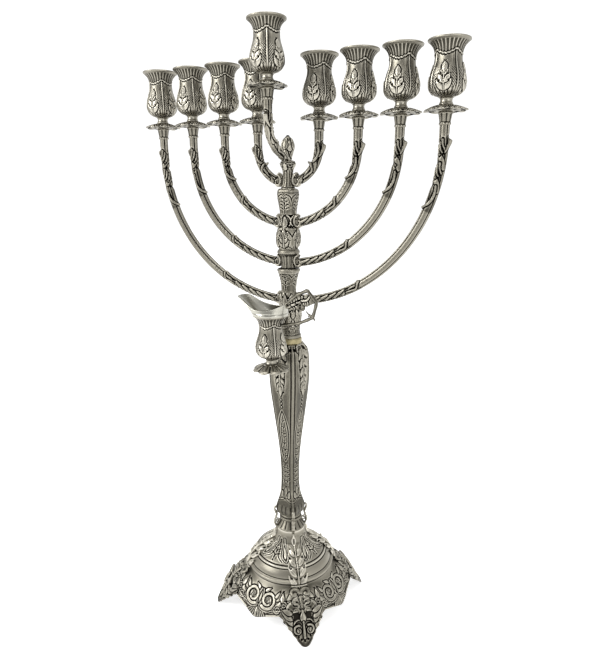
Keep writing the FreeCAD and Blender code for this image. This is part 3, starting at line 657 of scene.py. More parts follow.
def arm_relief(run, first, second, end):
    """Relief of a branch by the distance run down from its ferrule; its spurs stand at first and second.
    u is 0 on the outer side and minus a half girth on the inner side; the back repeats the front."""
    u = np.arange(ARM_COLUMNS) / ARM_COLUMNS * GIRTH
    relief = Relief(u[None], run[:, None], GIRTH)
    mid, inner = -GIRTH / 4, -GIRTH / 2
    rail = inner + 3.0          # a smooth rail runs along the inner side, cut off by a deep line
    line = 1.7 * bell(relief.beside(rail + 0.5), 0.75) + 1.2 * bell(relief.beside(-3.4), 0.55)
    line -= 0.5 * bell(relief.beside(inner + 1.2), 1.3) + 0.4 * bell(relief.beside(-1.2), 1.4)
    relief.h -= line
    # leaf groups down to the first spur: three fingers, a ribbon that crosses to the outer side, and hollows
    # painted dark as shade
    groups = max(1, int(round((first - 40) / 23)))
    spacing = (first - 22 - 15) / groups if first > 45 else 22
    for k in range(groups):
        r = 15 + spacing * k
        relief.pit((mid + 1.4, r + 13.2), 5.0, 7.5, 2.2, 30)
        relief.pit((inner + 2.6, r + 19.4), 4.4, 7.5, 2.2, 30)
        ribbon = flowing([(inner - 1.0, r + 7.5), (inner + 2.8, r + 12.5), (mid + 1.2, r + 19),
                          (-3.4, r + 25.5)], 1.0)
        relief.ridge(ribbon, 5.6, 0.7, (1.0, 0.8), groove=1.6, vein=0.15)
        for n in range(3):
            start = (inner + 1.6 + 2.6 * n, r + 4.4 - 2.6 * n)
            finish = (inner + 4.8 + 2.7 * n, r + 14.0 - 2.6 * n)
            relief.ridge(bow(start, finish, 0.1), 2.3, 0.95, (1.0, 0.7), groove=1.7)
        relief.bead((mid - 2.6, r + 13.4), 1.0, 1.0, groove=1.2)
        relief.bead((mid - 0.2, r + 22.2), 1.0, 0.9, groove=1.3)
    relief.pit((mid - 2.0, first - 10.0), 2.4, 15.0, 1.3, 8)
    tail = flowing([(mid + 0.6, first - 23), (mid + 1.6, first - 14), (mid - 0.6, first - 6),
                    (inner, first + 0.8)], 1.0)
    relief.ridge(tail, 3.0, 0.9, (0.8, 1.1), groove=1.4)
    # plain stretch, finely chased before the second spur
    plain = band(relief.v, first + 3.5, second - 1.0, 2.0)
    chased = 0.4 * stipple(relief.u.shape, 1.4) * band(relief.beside((mid + inner) / 2 + 1.8), -2.2, 2.2, 0.6)
    ground = chased * band(relief.v, second - 20, second - 4, 2) - line
    relief.h = relief.h * (1 - plain) + plain * ground
    # long slanting leaves under the rail, from the second spur to the scroll
    for r in np.arange(second + 18.0, end + 4, 10.5):
        leaf = flowing([(rail + 1.8, r - 9.5), (rail + 3.2, r - 5.5), (mid + 1.4, r + 3.0),
                        (-3.2, r + 6.0)], 0.8)
        relief.ridge(leaf, 4.4, 0.95, (0.6, 1.0), groove=1.7)
        relief.pit((mid + 3.2, r - 3.4), 3.0, 7.0, 2.0, 25)
    for side in (-1, 1):
        blade = flowing([(rail + 0.2, second - 0.6), (mid + 0.2 + 1.9 * side, second + 5),
                         (mid + 1.6 * side, second + 11), (mid + 1.4, second + 17)], 1.0)
        relief.ridge(blade, 2.6, 0.9, (1.0, 0.7), groove=1.5)
    for at in (first, second):
        spur = bell(relief.v - at, np.where(relief.v < at, 1.5, 3.4))
        relief.h += 1.5 * spur * bell(relief.beside(inner), 3.2)
    relief.ridge(flowing([(0.0, 13.2), (-0.5, 17.0), (-1.8, 21.5), (-4.0, 26.0)], 1.0), 4.6, 0.9,
                 (1.1, 0.3), groove=1.1)
    hook = bell(relief.v - 15.4, np.where(relief.v < 15.4, 1.8, 6.4))
    relief.h += 2.5 * hook * bell(relief.beside(0), 3.0)
    relief.h -= 1.0 * bell(relief.v - 12.4, 0.8) * bell(relief.beside(0), 4.0)
    back = (-np.arange(ARM_COLUMNS)) % ARM_COLUMNS
    return np.where(relief.beside(0) > 0, relief.h[:, back], relief.h)


def mirrored(points):
    """A grid seen in a mirror across the YZ plane, its columns reversed so that it still faces outwards."""
    return points[:, ::-1] * np.array([-1.0, 1.0, 1.0])


def scroll_grid():
    """C-scroll that ends a branch beside the stem: a fluted bar that winds in on itself, in the XZ plane."""
    t = np.linspace(0, 1, 150)
    reach = 6.0 * (0.10 + 0.90 * (1 - t) ** 0.9)
    angle = math.radians(80) + TURN * 1.22 * t
    path = np.stack([0.82 * reach * np.cos(angle) + 0.8 * t, 0 * t,
                     1.12 * reach * np.sin(angle) - 1.2 * t], 1)
    thick = 2.7 * (1 - 0.42 * t) * np.clip(t / 0.04 + 0.3, 0, 1)
    columns = 48
    grid = tube_grid(path, (0, -1, 0), thick, columns)
    grid[..., 1] *= 2.1 - 0.5 * t[:, None]
    phi = round_angles(columns)
    off = np.abs((phi + TURN / 4) % (TURN / 2) - TURN / 4)
    h = -1.0 * bell(off - 0.75, 0.2)[None] * (1 - t[:, None] ** 2)
    return grid, h


def root_grid():
    """Shadowed root that joins a scroll to the stem, along X; the scroll is at x 0."""
    x = np.linspace(-10.5, 1.5, 40)
    path = np.stack([x, 0 * x, 0 * x], 1)
    radius = 4.4 * np.sin(np.clip((1.6 - x) / 2.4, 0.02, 1) * math.pi / 2) ** 0.5
    return tube_grid(path, (0, 0, 1), radius, 32)


SCROLL_AT = {1: 11.6, 2: 13.0, 3: 13.0, 4: 13.2}     # how far from the axis each pair of scrolls stands


def make_branches():
    scroll, cut = scroll_grid()
    scroll = scroll + cut[..., None] * facing(scroll, True)
    scrolls = {"right": grid_mesh("scroll_right", scroll, tone=-0.12),
               "left": grid_mesh("scroll_left", mirrored(scroll), tone=-0.12)}
    # painted shade: the roots are darkened strongly in colour where they join the stem
    roots = {"right": grid_mesh("root_right", root_grid(), tone=-0.42),
             "left": grid_mesh("root_left", mirrored(root_grid()), tone=-0.42)}
    for k in (1, 2, 3, 4):
        reach = centre("cup_right_%d" % k)[0]
        start = math.asin((SCROLL_AT[k] + 3.2) / reach)
        sweep = np.linspace(math.pi / 2, start, max(60, int(reach * (math.pi / 2 - start) / 0.45)))
        upright = np.arange(FERRULE_FOOT_Z + 1, ARC_CENTRE_Z, -0.4)
        arc_z = ARC_CENTRE_Z - reach * np.cos(sweep)
        path = np.vstack([np.stack([0 * upright + reach, 0 * upright, upright], 1),
                          np.stack([reach * np.sin(sweep), 0 * sweep, arc_z], 1)])
        outer = np.vstack([np.tile([1.0, 0, 0], (len(upright), 1)),
                           np.stack([np.sin(sweep), 0 * sweep, -np.cos(sweep)], 1)])
        run = arc_run(path)
        bends = [run[-1] - (math.radians(angle) - start) * reach for angle in COLLARS[k]]
        h = arm_relief(run, bends[0], bends[1], run[-1] - 4)
        # rows run up the branch here, from its scroll to its ferrule, so that the tube faces outwards
        grid = tube_grid(path[::-1], outer[::-1], ARM_RADIUS, ARM_COLUMNS)
        plain = band(run, -5, 13.0, 2.0) + band(run, bends[0] + 3.0, bends[1] - 1.0, 2.0)
        tone = (-0.31 + 0.20 * plain)[::-1, None]
        h = h[::-1]
        grid = grid + eased(h)[..., None] * facing(grid, True)
        z = ARC_CENTRE_Z - math.sqrt(reach ** 2 - SCROLL_AT[k] ** 2) + 0.8
        for side, sign, points, carved in (("right", 1, grid, h), ("left", -1, mirrored(grid), h[:, ::-1])):
            node = "branch_%d_%s" % (k, side)
            mesh = grid_mesh(node, points, carved=carved, tone=tone)
            place(node + "_relief", mesh, "branch_section", [node])
            place("scroll_%d_%s" % (k, side), scrolls[side], "branch_section", at=(sign * SCROLL_AT[k], 0, z))
            place("root_%d_%s" % (k, side), roots[side], "branch_section", at=(sign * SCROLL_AT[k], 0, z))


def make_servant_branch():
    """The servant light's branch, down from its ferrule, round the bend and back to the capital."""
    reach = -centre("cup_servant")[1]
    top = low("pan_servant")[2] - 10.9
    slope = math.radians(24)
    bend = 34.0
    root = np.array([0, -4.0, 552.5])
    corner_z = root[2] + (reach - 4.0) * math.tan(slope)
    tangent = bend * math.tan((math.pi / 2 - slope) / 2)
    turn = np.linspace(0, math.pi / 2 - slope, 60)
    arc = np.stack([0 * turn, -reach + bend * (1 - np.cos(turn)),
                    corner_z + tangent - bend * np.sin(turn)], 1)
    path = resampled(np.vstack([[[0, -reach, top]], arc, [root]]), 0.4)
    outer = np.stack([0 * path[:, 0], np.full(len(path), -1.0), np.full(len(path), -0.6)], 1)
    run = arc_run(path)
    h = arm_relief(run, run[-1] - 30, run[-1] - 30, run[-1])
    grid = tube_grid(path[::-1], outer[::-1], ARM_RADIUS, ARM_COLUMNS)
    mesh = grid_mesh("servant_branch_relief", grid, h=h[::-1], tone=-0.14)
    place("servant_branch_relief", mesh, "branch_section", ["servant_branch"])


# ---- stem: the stack of pieces the branches grow from ---------------------------------------
STEM_BORE = 2.6
STEM_COLUMNS = 60           # grid columns in each quarter of a stem piece


def quartered(node, body, profile, draw, roundness=None, centre_angle=0.0):
    """Piece with four like faces: profile is (corner radius, z) rows, draw fills one face's relief."""
    panel = quarter_angles(STEM_COLUMNS)
    factor = np.ones(STEM_COLUMNS) if roundness is None else square_factor(panel, roundness)
    radius = profile[:, :1] * factor[None]
    relief = Relief(panel[None] * profile[:, :1] * 0.9, profile[:, 1:])
    relief.angle = panel[None]
    draw(relief)
    relief.mirror()
    angles = four_times(panel) + centre_angle
    points = turned_grid(np.stack([np.ones(len(profile)), profile[:, 1]], 1), angles, np.tile(radius, 4))
    at_side = profile[:, :1] > 0.55 * profile[:, 0].max()
    name = node + "_relief"
    mesh = grid_mesh(name, points, h=np.tile(relief.h * at_side, 4), tone=-0.12)
    place(name, mesh, body, [node])


def side_rows(points, step=0.28, flow=False):
    """Rows of a stem piece: its side, smooth or moulded, between its two flat ends."""
    first, last = (STEM_BORE, points[0][1]), (STEM_BORE, points[-1][1])
    if not flow:
        return moulded([first] + points + [last], step, 0.25)
    side = flowing(points, step)
    lower = resampled([first, points[0]], 0.8)[:-1]
    upper = resampled([points[-1], last], 0.8)[1:]
    return np.vstack([lower, side, upper])


def draw_socket(relief):
    relief.h += 0.42 * stipple(relief.u.shape) * band(relief.v, 356.5, 365.2, 0.8)
    relief.h -= 0.45 * bell(relief.v - 356.2, 0.4)


def draw_leaf_knop(relief):
    for u, v in ((8.6, 366.4), (0.0, 366.2)):
        relief.leaf((u, v), 90, 20, 7.4, 1.1, lobes=2, pitch=3.0, groove=1.2)
    relief.leaf((4.4, 367), 84, 20, 7.0, 1.3, bend=0.1, lobes=3, pitch=3.0, groove=1.4)
    relief.pit((2.6, 385.5), 2.4, 3.4, 1.5)
    relief.pit((7.0, 385.0), 2.2, 3.4, 1.5)


def draw_hub_4(relief):
    relief.leaf((7.2, 390.5), 100, 14.0, 6.0, 1.2, bend=-0.12, lobes=2, groove=1.3)
    relief.leaf((3.4, 389.6), 76, 10.0, 3.6, 1.0, bend=0.2, groove=1.2)
    relief.leaf((0, 389.6), 90, 15.0, 5.4, 1.6, lobes=1, groove=1.5)
    relief.pit((3.4, 400.5), 2.0, 4.0, 1.4, 15)


def draw_drum(relief):
    relief.spray((0.0, 409), (0.0, 425), 0.0, 3, 7.4, 1.2, 0.9)
    relief.engrave(bow((8.6, 412), (5.2, 427.0), -0.16), 1.2, 0.8)
    relief.h += 0.4 * bell(relief.v - 428.6, 0.8)


def draw_hub_3(relief):
    flute = np.abs(np.cos(relief.angle * 7)) ** 0.5
    spool = band(relief.v, 434.6, 448.8, 1.2)
    relief.h += (0.95 * flute - 0.75) * spool
    relief.h -= 0.6 * bell(relief.v - 434.0, 0.6)
    relief.h -= 0.6 * bell(relief.v - 449.6, 0.6)


def draw_vase(relief):
    relief.leaf((8.6, 457.4), 96, 19, 7.4, 1.1, bend=0.12, groove=1.2)
    for k in range(3):
        relief.leaf((0.2, 458.0 + 5.0 * k), 46 + 6 * k, 10.0 - 1.1 * k, 4.4, 1.1, bend=0.14, groove=1.0)
    relief.leaf((0, 468.0), 90, 11.0, 4.6, 1.3, groove=1.2, full=1.0)
    relief.ridge([(0, 457.4), (0, 473)], 1.8, 1.3, (1.3, 0.6), groove=0.4)


def draw_hub_2(relief):
    # deep hollow at the side of each face, painted dark in colour as the shade behind the scrolls
    relief.pit((6.4, 486.5), 5.4, 14.0, 3.0)
    relief.leaf((0, 478.5), 90, 14.0, 5.6, 1.3, groove=1.2)
    relief.ridge(bow((2.6, 493.0), (5.0, 482.0), 0.2), 2.0, 1.0, (1.0, 0.7), groove=0.8)


def draw_urn(relief):
    relief.spray((0.0, 494.5), (0.0, 513.0), 0.0, 4, 8.0, 1.2, 0.9)
    relief.engrave(flowing([(8.4, 499), (8.8, 507), (7.2, 513.5), (3.0, 516.0)], 1.0), 1.2, 0.8)
    relief.h -= 0.4 * bell(relief.v - 517.4, 0.4)
    relief.h += 0.3 * bell(relief.v - 519.6, 1.4)


def draw_hub_1(relief):
    flute = np.abs(np.cos(relief.angle * 6)) ** 0.5
    relief.h += (1.0 * flute - 0.75) * band(relief.v, 524, 541.5, 1.4)
    relief.ridge(spiral((4.6, 546.8), 2.5, 1.3, 180, -1), 1.3, 1.0, (1, 0.7), groove=0.8)
    relief.leaf((0, 541.2), 90, 8.6, 4.8, 1.0, lobes=2, pitch=1.8, groove=0.9)
    relief.h -= 0.5 * bell(relief.v - 523.4, 0.5)


def draw_bud(relief):
    for v, length, width in ((552.8, 11.0, 5.6), (561.5, 11.5, 5.6)):
        relief.leaf((3.8, v), 88, length, width, 0.9, groove=1.1)
    for v, length, width in ((554.5, 10.0, 5.2), (563.0, 13.0, 6.0)):
        relief.leaf((0, v), 90, length, width, 1.1, groove=1.2)


# the pieces upwards: drawing, smooth side or moulded, roundness of the plan, and (radius, share of height)
STACK = (
    ("stem_socket", draw_socket, False, None,
     [(13.7, 0), (14.1, 0.06), (14.1, 0.2), (13.5, 0.28), (12.9, 0.4), (12.7, 0.65), (13.2, 0.92),
      (13.2, 1)]),
    ("leaf_knop", draw_leaf_knop, True, None,
     [(12.6, 0), (13.4, 0.26), (14.3, 0.56), (13.6, 0.83), (11.0, 1)]),
    ("branch_hub_4", draw_hub_4, True, None,
     [(10.6, 0), (11.4, 0.15), (10.6, 0.47), (9.9, 0.8), (8.8, 1)]),
    ("engraved_drum", draw_drum, True, 0.7,
     [(8.9, 0), (9.1, 0.29), (10.0, 0.58), (11.5, 0.83), (12.6, 0.97), (12.8, 1)]),
    ("branch_hub_3", draw_hub_3, False, None,
     [(12.9, 0), (13.5, 0.04), (13.3, 0.09), (12.4, 0.13), (8.6, 0.18), (7.9, 0.4), (8.8, 0.68), (11.4, 0.74),
      (12.8, 0.79), (13.1, 0.86), (12.4, 0.93), (11.2, 0.96), (11.2, 1)]),
    ("leaf_vase", draw_vase, True, 0.7,
     [(11.2, 0), (13.2, 0.2), (14.0, 0.46), (13.6, 0.74), (12.4, 1)]),
    ("branch_hub_2", draw_hub_2, True, None,
     [(11.2, 0), (8.8, 0.3), (8.4, 0.7), (9.2, 1)]),
    ("engraved_urn", draw_urn, True, 0.6,
     [(9.6, 0), (10.2, 0.25), (11.5, 0.5), (12.5, 0.72), (12.6, 0.82), (11.9, 0.93), (10.4, 1)]),
    ("branch_hub_1", draw_hub_1, True, None,
     [(8.4, 0), (6.3, 0.2), (5.6, 0.5), (6.2, 0.68), (8.2, 0.84), (8.6, 0.9), (8.2, 0.96), (5.8, 1)]),
    ("bud_finial", draw_bud, True, None,
     [(4.6, 0), (4.3, 0.14), (6.0, 0.34), (7.3, 0.54), (5.9, 0.76), (3.0, 0.92), (0.7, 0.995)]))


def make_stem():
    for node, draw, smooth, roundness, outline in STACK:
        bottom, top = low(node)[2], high(node)[2]
        side = [(radius, bottom + share * (top - bottom)) for radius, share in outline]
        quartered(node, "branch_section", side_rows(side, flow=smooth), draw, roundness)


# ---- column and knop ------------------------------------------------------------------------
CORNER_TURN = math.radians(37 - 45)          # base and column stand turned against the branches
QUARTERS = [(k + 1, CORNER_TURN - TURN / 4 + k * TURN / 4) for k in range(4)]      # the four sides
CORNERS = [(k + 1, CORNER_TURN - TURN / 8 + k * TURN / 4) for k in range(4)]        # and the four corners
COLUMN_SIDE = [(16.4, 121), (17.8, 125), (18.3, 129), (16.6, 135.5), (14.2, 142.5), (12.4, 150), (11.4, 160),
               (11.1, 178), (11.9, 196), (13.3, 212), (15.2, 228), (18.2, 250), (20.6, 268), (22.8, 285),
               (24.2, 303), (24.2, 318), (23.3, 331), (21.0, 339.5), (17.0, 345)]


def draw_column(relief):
    """One face: a hanging acanthus, beads, an engraved pointed panel, engraved sprays and a bell foot."""
    edge = relief.radius * 0.9 * TURN / 8
    for k in range(4):
        v = 340 - 11.5 * k
        relief.pit((6.4 - 0.6 * k, v - 3.0), 4.6, 6.4, 2.2, -35)
        relief.leaf((0.8, v), -50 - 3 * k, 14.4 - 1.2 * k, 5.8, 1.3, bend=-0.16, groove=2.2)
    relief.pit((4.0, 297.0), 3.2, 6.0, 1.8)
    relief.leaf((0.6, 300), -66, 12.0, 4.6, 1.3, bend=-0.12, groove=1.5)
    relief.leaf((0.0, 297), -90, 15.0, 5.4, 1.4, groove=1.5)
    relief.ridge([(0, 342), (0, 296)], 1.8, 1.4, (1.3, 0.9), groove=0.5)
    relief.ridge(bow((0, 343.5), (9.0, 338.0), 0.3), 2.4, 1.3, (1.0, 0.8), groove=1.3)
    relief.pit((4.0, 340.2), 4.4, 2.6, 2.6)
    relief.pit((11.4, 340.6), 4.4, 3.4, 2.6)
    for k in range(3):
        relief.bead((0, 277.8 - 4.6 * k), 1.2, 0.8, groove=0.9)
    outline = flowing([(0, 263), (3.4, 256), (5.9, 246), (6.8, 236), (5.8, 224), (5.0, 212), (3.2, 202),
                       (0, 195)], 1.5)
    relief.engrave(outline, 1.4, 1.1)
    relief.engrave(0.6 * (outline - [0, 229]) + [0, 229], 1.1, 0.8)
    relief.spray((0, 199), (0, 257), 0.0, 7, 6.0, 1.2, 1.0)
    relief.spray((3.0, 163), (3.0, 190), 0.05, 4, 4.4, 1.1, 0.95)
    relief.leaf((0.0, 144), 90, 15, 5.4, 0.5, lobes=2, groove=0.95)
    relief.leaf((1.6, 144), 56, 9, 3.2, 0.45, bend=0.2, groove=0.9)
    relief.leaf((5.0, 144), 80, 9, 3.0, 0.45, bend=0.2, groove=0.9)
    beside = edge - relief.u
    relief.h += 0.6 * bell(beside, 1.2) * band(relief.v, 127, 341, 3)
    relief.h -= 0.7 * bell(beside - 2.3, 0.6) * band(relief.v, 145, 338, 3)
    line = relief.v - 140.8 - 1.6 * np.cos(relief.angle * 4)
    relief.h = relief.h - 0.55 * bell(line, 0.45) + 0.3 * bell(line - 1.0, 0.5)
    flute = np.abs(np.cos(relief.angle * 8)) ** 0.7
    relief.h += (0.4 * flute - 0.25) * band(relief.v, 121.8, 134.0, 3.0)
    teeth = np.abs(np.cos(relief.angle * 7)) ** 0.6
    relief.h += (1.7 * teeth - 1.9) * band(relief.v, 338.4, 344.6, 1.2)
    relief.h += 0.04 * stipple(relief.u.shape, 1.0)


def make_column():
    side = flowing(COLUMN_SIDE, 0.44)
    lower = resampled([(4.0, side[0, 1]), tuple(side[0])], 1.0)[:-1]
    upper = resampled([tuple(side[-1]), (8.2, side[-1, 1])], 1.0)[1:]
    profile = np.vstack([lower, side, upper])
    columns = 96
    panel = np.linspace(-TURN / 8, TURN / 8, columns)
    radius = profile[:, :1] * square_factor(panel, 0.5)[None]
    relief = Relief(panel[None] * profile[:, :1] * 0.9, profile[:, 1:])
    relief.angle, relief.radius = panel[None], profile[:, :1]
    draw_column(relief)
    relief.mirror()
    points = turned_grid(np.stack([np.ones(len(profile)), profile[:, 1]], 1), panel, radius)
    mesh = grid_mesh("column_face", points, closed=False, h=relief.h, tone=-0.18)
    for k, turn in QUARTERS:
        place("column_face_%d" % k, mesh, "base", ["column"], turn=turn)


KNOP_SIDE = [(17.8, 101), (18.4, 101.7), (18.2, 102.9), (15.6, 106.2), (12.8, 110.0), (11.9, 112.0),
             (13.6, 112.9), (14.4, 114.0), (14.0, 115.6), (12.2, 116.5), (13.0, 117.2), (13.4, 118.0),
             (12.8, 119.2), (11.6, 119.9), (11.6, 121)]


def draw_knop(relief):
    flute = np.abs(np.cos(relief.angle * 8)) ** 0.6
    relief.h += (0.6 * flute - 0.45) * band(relief.v, 103.4, 111.0, 1.0)
    relief.h -= 0.5 * bell(relief.v - 111.9, 0.5)


BRACKET_LINE = [(16.9, 126.5), (19.2, 129.0), (20.6, 126.0), (19.3, 121.0), (17.9, 117.6), (19.5, 112.6),
                (20.6, 107.0), (19.0, 102.0), (17.6, 98.4), (19.6, 95.2), (21.0, 93.0)]


def make_knop():
    rows = side_rows(KNOP_SIDE, 0.25)
    quartered("lower_knop", "base", rows, draw_knop, centre_angle=CORNER_TURN)
    line = flowing(BRACKET_LINE, 0.3)
    path = in_xz(line)
    share = np.linspace(0, 1, len(path))
    thick = 1.25 * (0.55 + 0.45 * np.sin(math.pi * share) ** 0.5) + 0.35 * np.cos(TURN * share * 4.5) ** 2
    grid = tube_grid(path, (1, 0, 0), thick, 28)
    grid[..., 1] *= 1.35
    strap = grid_mesh("bracket", grid, tone=-0.2)
    curls = []
    for name, curl in (("bracket_curl", spiral((16.6, 122.8), 3.0, 1.25, 60, steps=60)),
                       ("bracket_low_curl", spiral((16.9, 108.6), 3.2, 1.3, 70, steps=60))):
        loop = in_xz(curl)
        grid = tube_grid(loop, (0, -1, 0), np.linspace(1.0, 0.6, len(loop)), 20)
        curls.append(grid_mesh(name, grid, tone=-0.2))
    for k, turn in CORNERS:
        place("bracket_%d" % k, strap, "base", ["knop_brackets"], turn=turn)
        place("bracket_curl_%d" % k, curls[0], "base", turn=turn)
        place("bracket_low_curl_%d" % k, curls[1], "base", turn=turn)


# ---- base -----------------------------------------------------------------------------------
BASE_SIDE = [(78.6, 17.0), (76.0, 22.6), (72.0, 28.2), (66.0, 35.6), (60.0, 42.5), (56.0, 47.6), (53.4, 51.4),
             (54.4, 52.6), (54.9, 54.5), (54.4, 56.2), (52.3, 57.0), (49.6, 62.2), (46.4, 67.0), (41.6, 71.8),
             (35.2, 76.4), (28.4, 81.0), (21.6, 86.6), (18.6, 94.5), (17.4, 101.0)]
FOOT_SIDE = [(97.4, 0.9), (96.0, 3.2), (93.0, 7.6), (87.0, 17.0), (81.0, 28.0), (75.0, 36.6), (68.0, 43.0),
             (61.0, 47.4), (56.5, 50.4)]
LOBE_HALF_WIDTH = 34.0      # the skirt hangs in one point on each side and rises towards the feet
LOBE_RISE = 10.0
SHELL_WALL = 1.8


def draw_base(relief):
    """One side of the base, from corner to corner; v is the distance up the side from its lowest point."""
    for k in range(5):
        relief.ridge([(0.5 + 0.45 * k, 15.5), (0.9 + 3.0 * k, 1.6 + 0.75 * k)], 1.7, 1.0, (0.5, 1.15),
                     groove=0.7)
    relief.ridge(bow((1.3, 33), (1.5, 13.5), 0.1), 1.9, 1.4, (0.9, 1.0), groove=0.8)
    relief.ridge(bow((2.0, 12.5), (21.5, 14.5), -0.2), 1.8, 1.2, (0.8, 1.0), groove=0.7)
    relief.leaf((17.5, 14.5), 34, 16.5, 7.5, 1.3, bend=0.22, lobes=2, groove=1.0)
    relief.leaf((25.0, 17.5), 66, 14.0, 7.0, 1.3, bend=-0.2, lobes=2, groove=1.0)
    relief.ridge(spiral((27.5, 17.0), 4.6, 1.5, -160), 1.8, 1.5, (1, 0.7), groove=0.9)
    relief.ridge(spiral((34.5, 24.5), 3.8, 1.4, 150, -1), 1.6, 1.4, (1, 0.7), groove=0.9)
    relief.leaf((31.0, 26.5), 100, 10.0, 5.6, 1.3, bend=0.2, lobes=1, groove=1.0)
    for at, aim, length in (((36.0, 14.0), 50, 15.0), ((40.0, 20.0), 72, 14.0), ((36.5, 30.0), 60, 12.0),
                            ((45.0, 26.0), 80, 13.0), ((50.0, 14.0), 78, 14.0), ((48.0, 34.0), 96, 9.0)):
        relief.leaf(at, aim, length, 6.4, 1.4, bend=-0.18, lobes=1, groove=1.2)
    relief.ridge(bow((3.4, 13.0), (35.0, 19.0), -0.11), 1.5, 1.0, (1.0, 0.8), groove=0.6)
    scroll = spiral((11.2, 22.6), 10.4, 1.85, -128, steps=80)
    relief.ridge(scroll, 3.8, 0.7, (1.0, 0.7), groove=1.1, vein=0.3)
    for aim, length in ((200, 6.0), (232, 7.4), (264, 6.4)):
        relief.leaf((14.4, 26.0), aim, length, 2.6, 0.9, bend=0.3, groove=0.7)
    relief.leaf((4.4, 31.0), 56, 8.0, 4.0, 1.1, bend=-0.25, groove=0.8)
    relief.leaf((19.5, 28.5), 48, 8.0, 4.0, 1.1, bend=0.25, groove=0.8)
    # dome: an inner bead over a convex band; the engraved drops and scrolls above it are drawn in draw_dome
    v = relief.v
    relief.h = relief.h + 1.3 * bell(v - 64.2, 1.1) - 0.8 * bell(v - 66.4, 0.6)
    relief.h = relief.h - 0.7 * bell(v - 62.2, 0.55) - 0.6 * bell(v - 51.2, 0.5)
    relief.h += 0.5 * np.sin(np.clip((v - 51.8) / 10, 0, 1) * math.pi)
    relief.h -= 0.9 * bell(v - 43.4, 0.7)


def draw_dome(relief, edge):
    """Engraving on the dome; edge is the distance from mid-side to the corner, row by row."""
    from_corner = Relief(edge - relief.u, relief.v)
    from_corner.h = relief.h
    drop = flowing([(12.5, 70.2), (16.6, 74.0), (16.4, 80.0), (13.4, 89.0), (11.0, 99.0), (10.6, 89.5),
                    (10.8, 80.5), (10.2, 74.4), (12.5, 70.2)], 1.2)
    from_corner.ridge(drop, 1.3, 0.4, groove=0.8)
    from_corner.leaf((13.2, 74.0), 94, 15.0, 3.4, 0.5, groove=0.8)
    from_corner.engrave(flowing([(18.5, 70.0), (22.5, 76.0), (19.5, 84.0), (15.5, 97.0)], 1.2), 1.5, 0.9)
    relief.h = from_corner.h
    relief.spray((0, 70.0), (0, 86.0), 0.0, 2, 9.0, 1.6, 0.9)


def make_base():
    side = moulded(BASE_SIDE, 0.44, 0.45)
    run = arc_run(side)
    columns = 256
    panel = np.linspace(-TURN / 8, TURN / 8, columns)
    across = np.abs(BASE_SIDE[0][0] * np.sin(panel))
    edge_z = BASE_SIDE[0][1] + LOBE_RISE * np.clip((across - 2) / (LOBE_HALF_WIDTH - 2), 0, 1.45)
    edge_z = blurred(np.tile(edge_z, (3, 1)), 0.1, 3, False)[1]
    start = np.interp(edge_z, side[:, 1], run)
    rows = np.linspace(0, 1, len(side))[:, None]
    at = start[None] + (run[-1] - start[None]) * rows
    radius = np.interp(at, run, side[:, 0])
    z = np.interp(at, run, side[:, 1])
    # the skirt runs out into the feet at the corners
    foot_radius = np.interp(z, [p[1] for p in FOOT_SIDE], [p[0] for p in FOOT_SIDE])
    turn_to = np.clip((np.abs(panel) - math.radians(9)) / math.radians(23), 0, 1)
    turn_to = (3 * turn_to ** 2 - 2 * turn_to ** 3)[None] * np.clip((51 - z) / 6, 0, 1)
    radius = radius + turn_to * np.maximum(foot_radius - 2.2 - radius, 0)
    relief = Relief(panel[None] * radius, at)
    draw_base(relief)
    draw_dome(relief, radius * TURN / 8)
    relief.mirror()
    rim = at - start[None]
    relief.h = relief.h + 0.75 * bell(rim - 0.9, 0.9) - 0.5 * bell(rim - 2.8, 0.5)
    outer = np.stack([radius * np.cos(panel), radius * np.sin(panel), z], -1)
    h = relief.h
    inner_rows = np.arange(len(side) - 14, -1, -5)
    inner = np.stack([(radius - SHELL_WALL) * np.cos(panel), (radius - SHELL_WALL) * np.sin(panel),
                      z - 0.8 * SHELL_WALL], -1)[inner_rows]
    inner[-1, :, 2] = outer[0, :, 2]
    cap = outer[-1:] * np.array([0.18, 0.18, 1.0])
    points = np.concatenate([inner, outer, cap])
    h = np.concatenate([np.zeros((len(inner), columns)), h, np.zeros((1, columns))])
    h[len(inner)] = 0
    tone = -0.14 * np.clip((48 - points[:, columns // 2, 2]) / 6, 0, 1)[:, None]
    mesh = grid_mesh("base_side", points, closed=False, h=h, tone=tone)
    for k, turn in QUARTERS:
        place("base_side_%d" % k, mesh, "base", ["base_shell"], turn=turn)


LEAF_SIDE = [(59.0, 49.5), (55.9, 56.2), (52.6, 63.6), (48.2, 69.6), (43.4, 74.2), (36.8, 78.8), (30.0, 83.3),
             (23.6, 88.6), (21.0, 95.0), (19.6, 100.0)]
LEAF_SUNK = 2.9             # the mount's ground lies this far under the top of its leaves


def draw_corner_leaf(relief):
    """Acanthus up a corner: pairs of leaves off a bright stem, a bud on top and a tie band below."""
    lift = 2.1
    for v, aim, length, width in ((2.0, 42, 18.0, 8.4), (14.0, 46, 18.5, 8.6), (26.0, 50, 17.5, 8.2),
                                  (38.0, 56, 15.0, 7.2)):
        relief.leaf((0.8, v), aim, length, width, 0.9 + lift, bend=0.2, groove=1.4)
        relief.pit((7.4 * length / 16, v + 11.0), 3.4, 4.2, 2.6, -30)
    relief.leaf((0.0, 50.5), 90, 15.0, 7.4, 1.3 + lift, lobes=1, groove=1.6)
    relief.ridge([(0, 2.0), (0, 58.0)], 1.8, 1.6 + lift, (1.25, 0.6), groove=0.7)
    relief.ridge([(-9.0, 3.6), (9.0, 3.6)], 2.0, 1.6 + lift, groove=0.9)


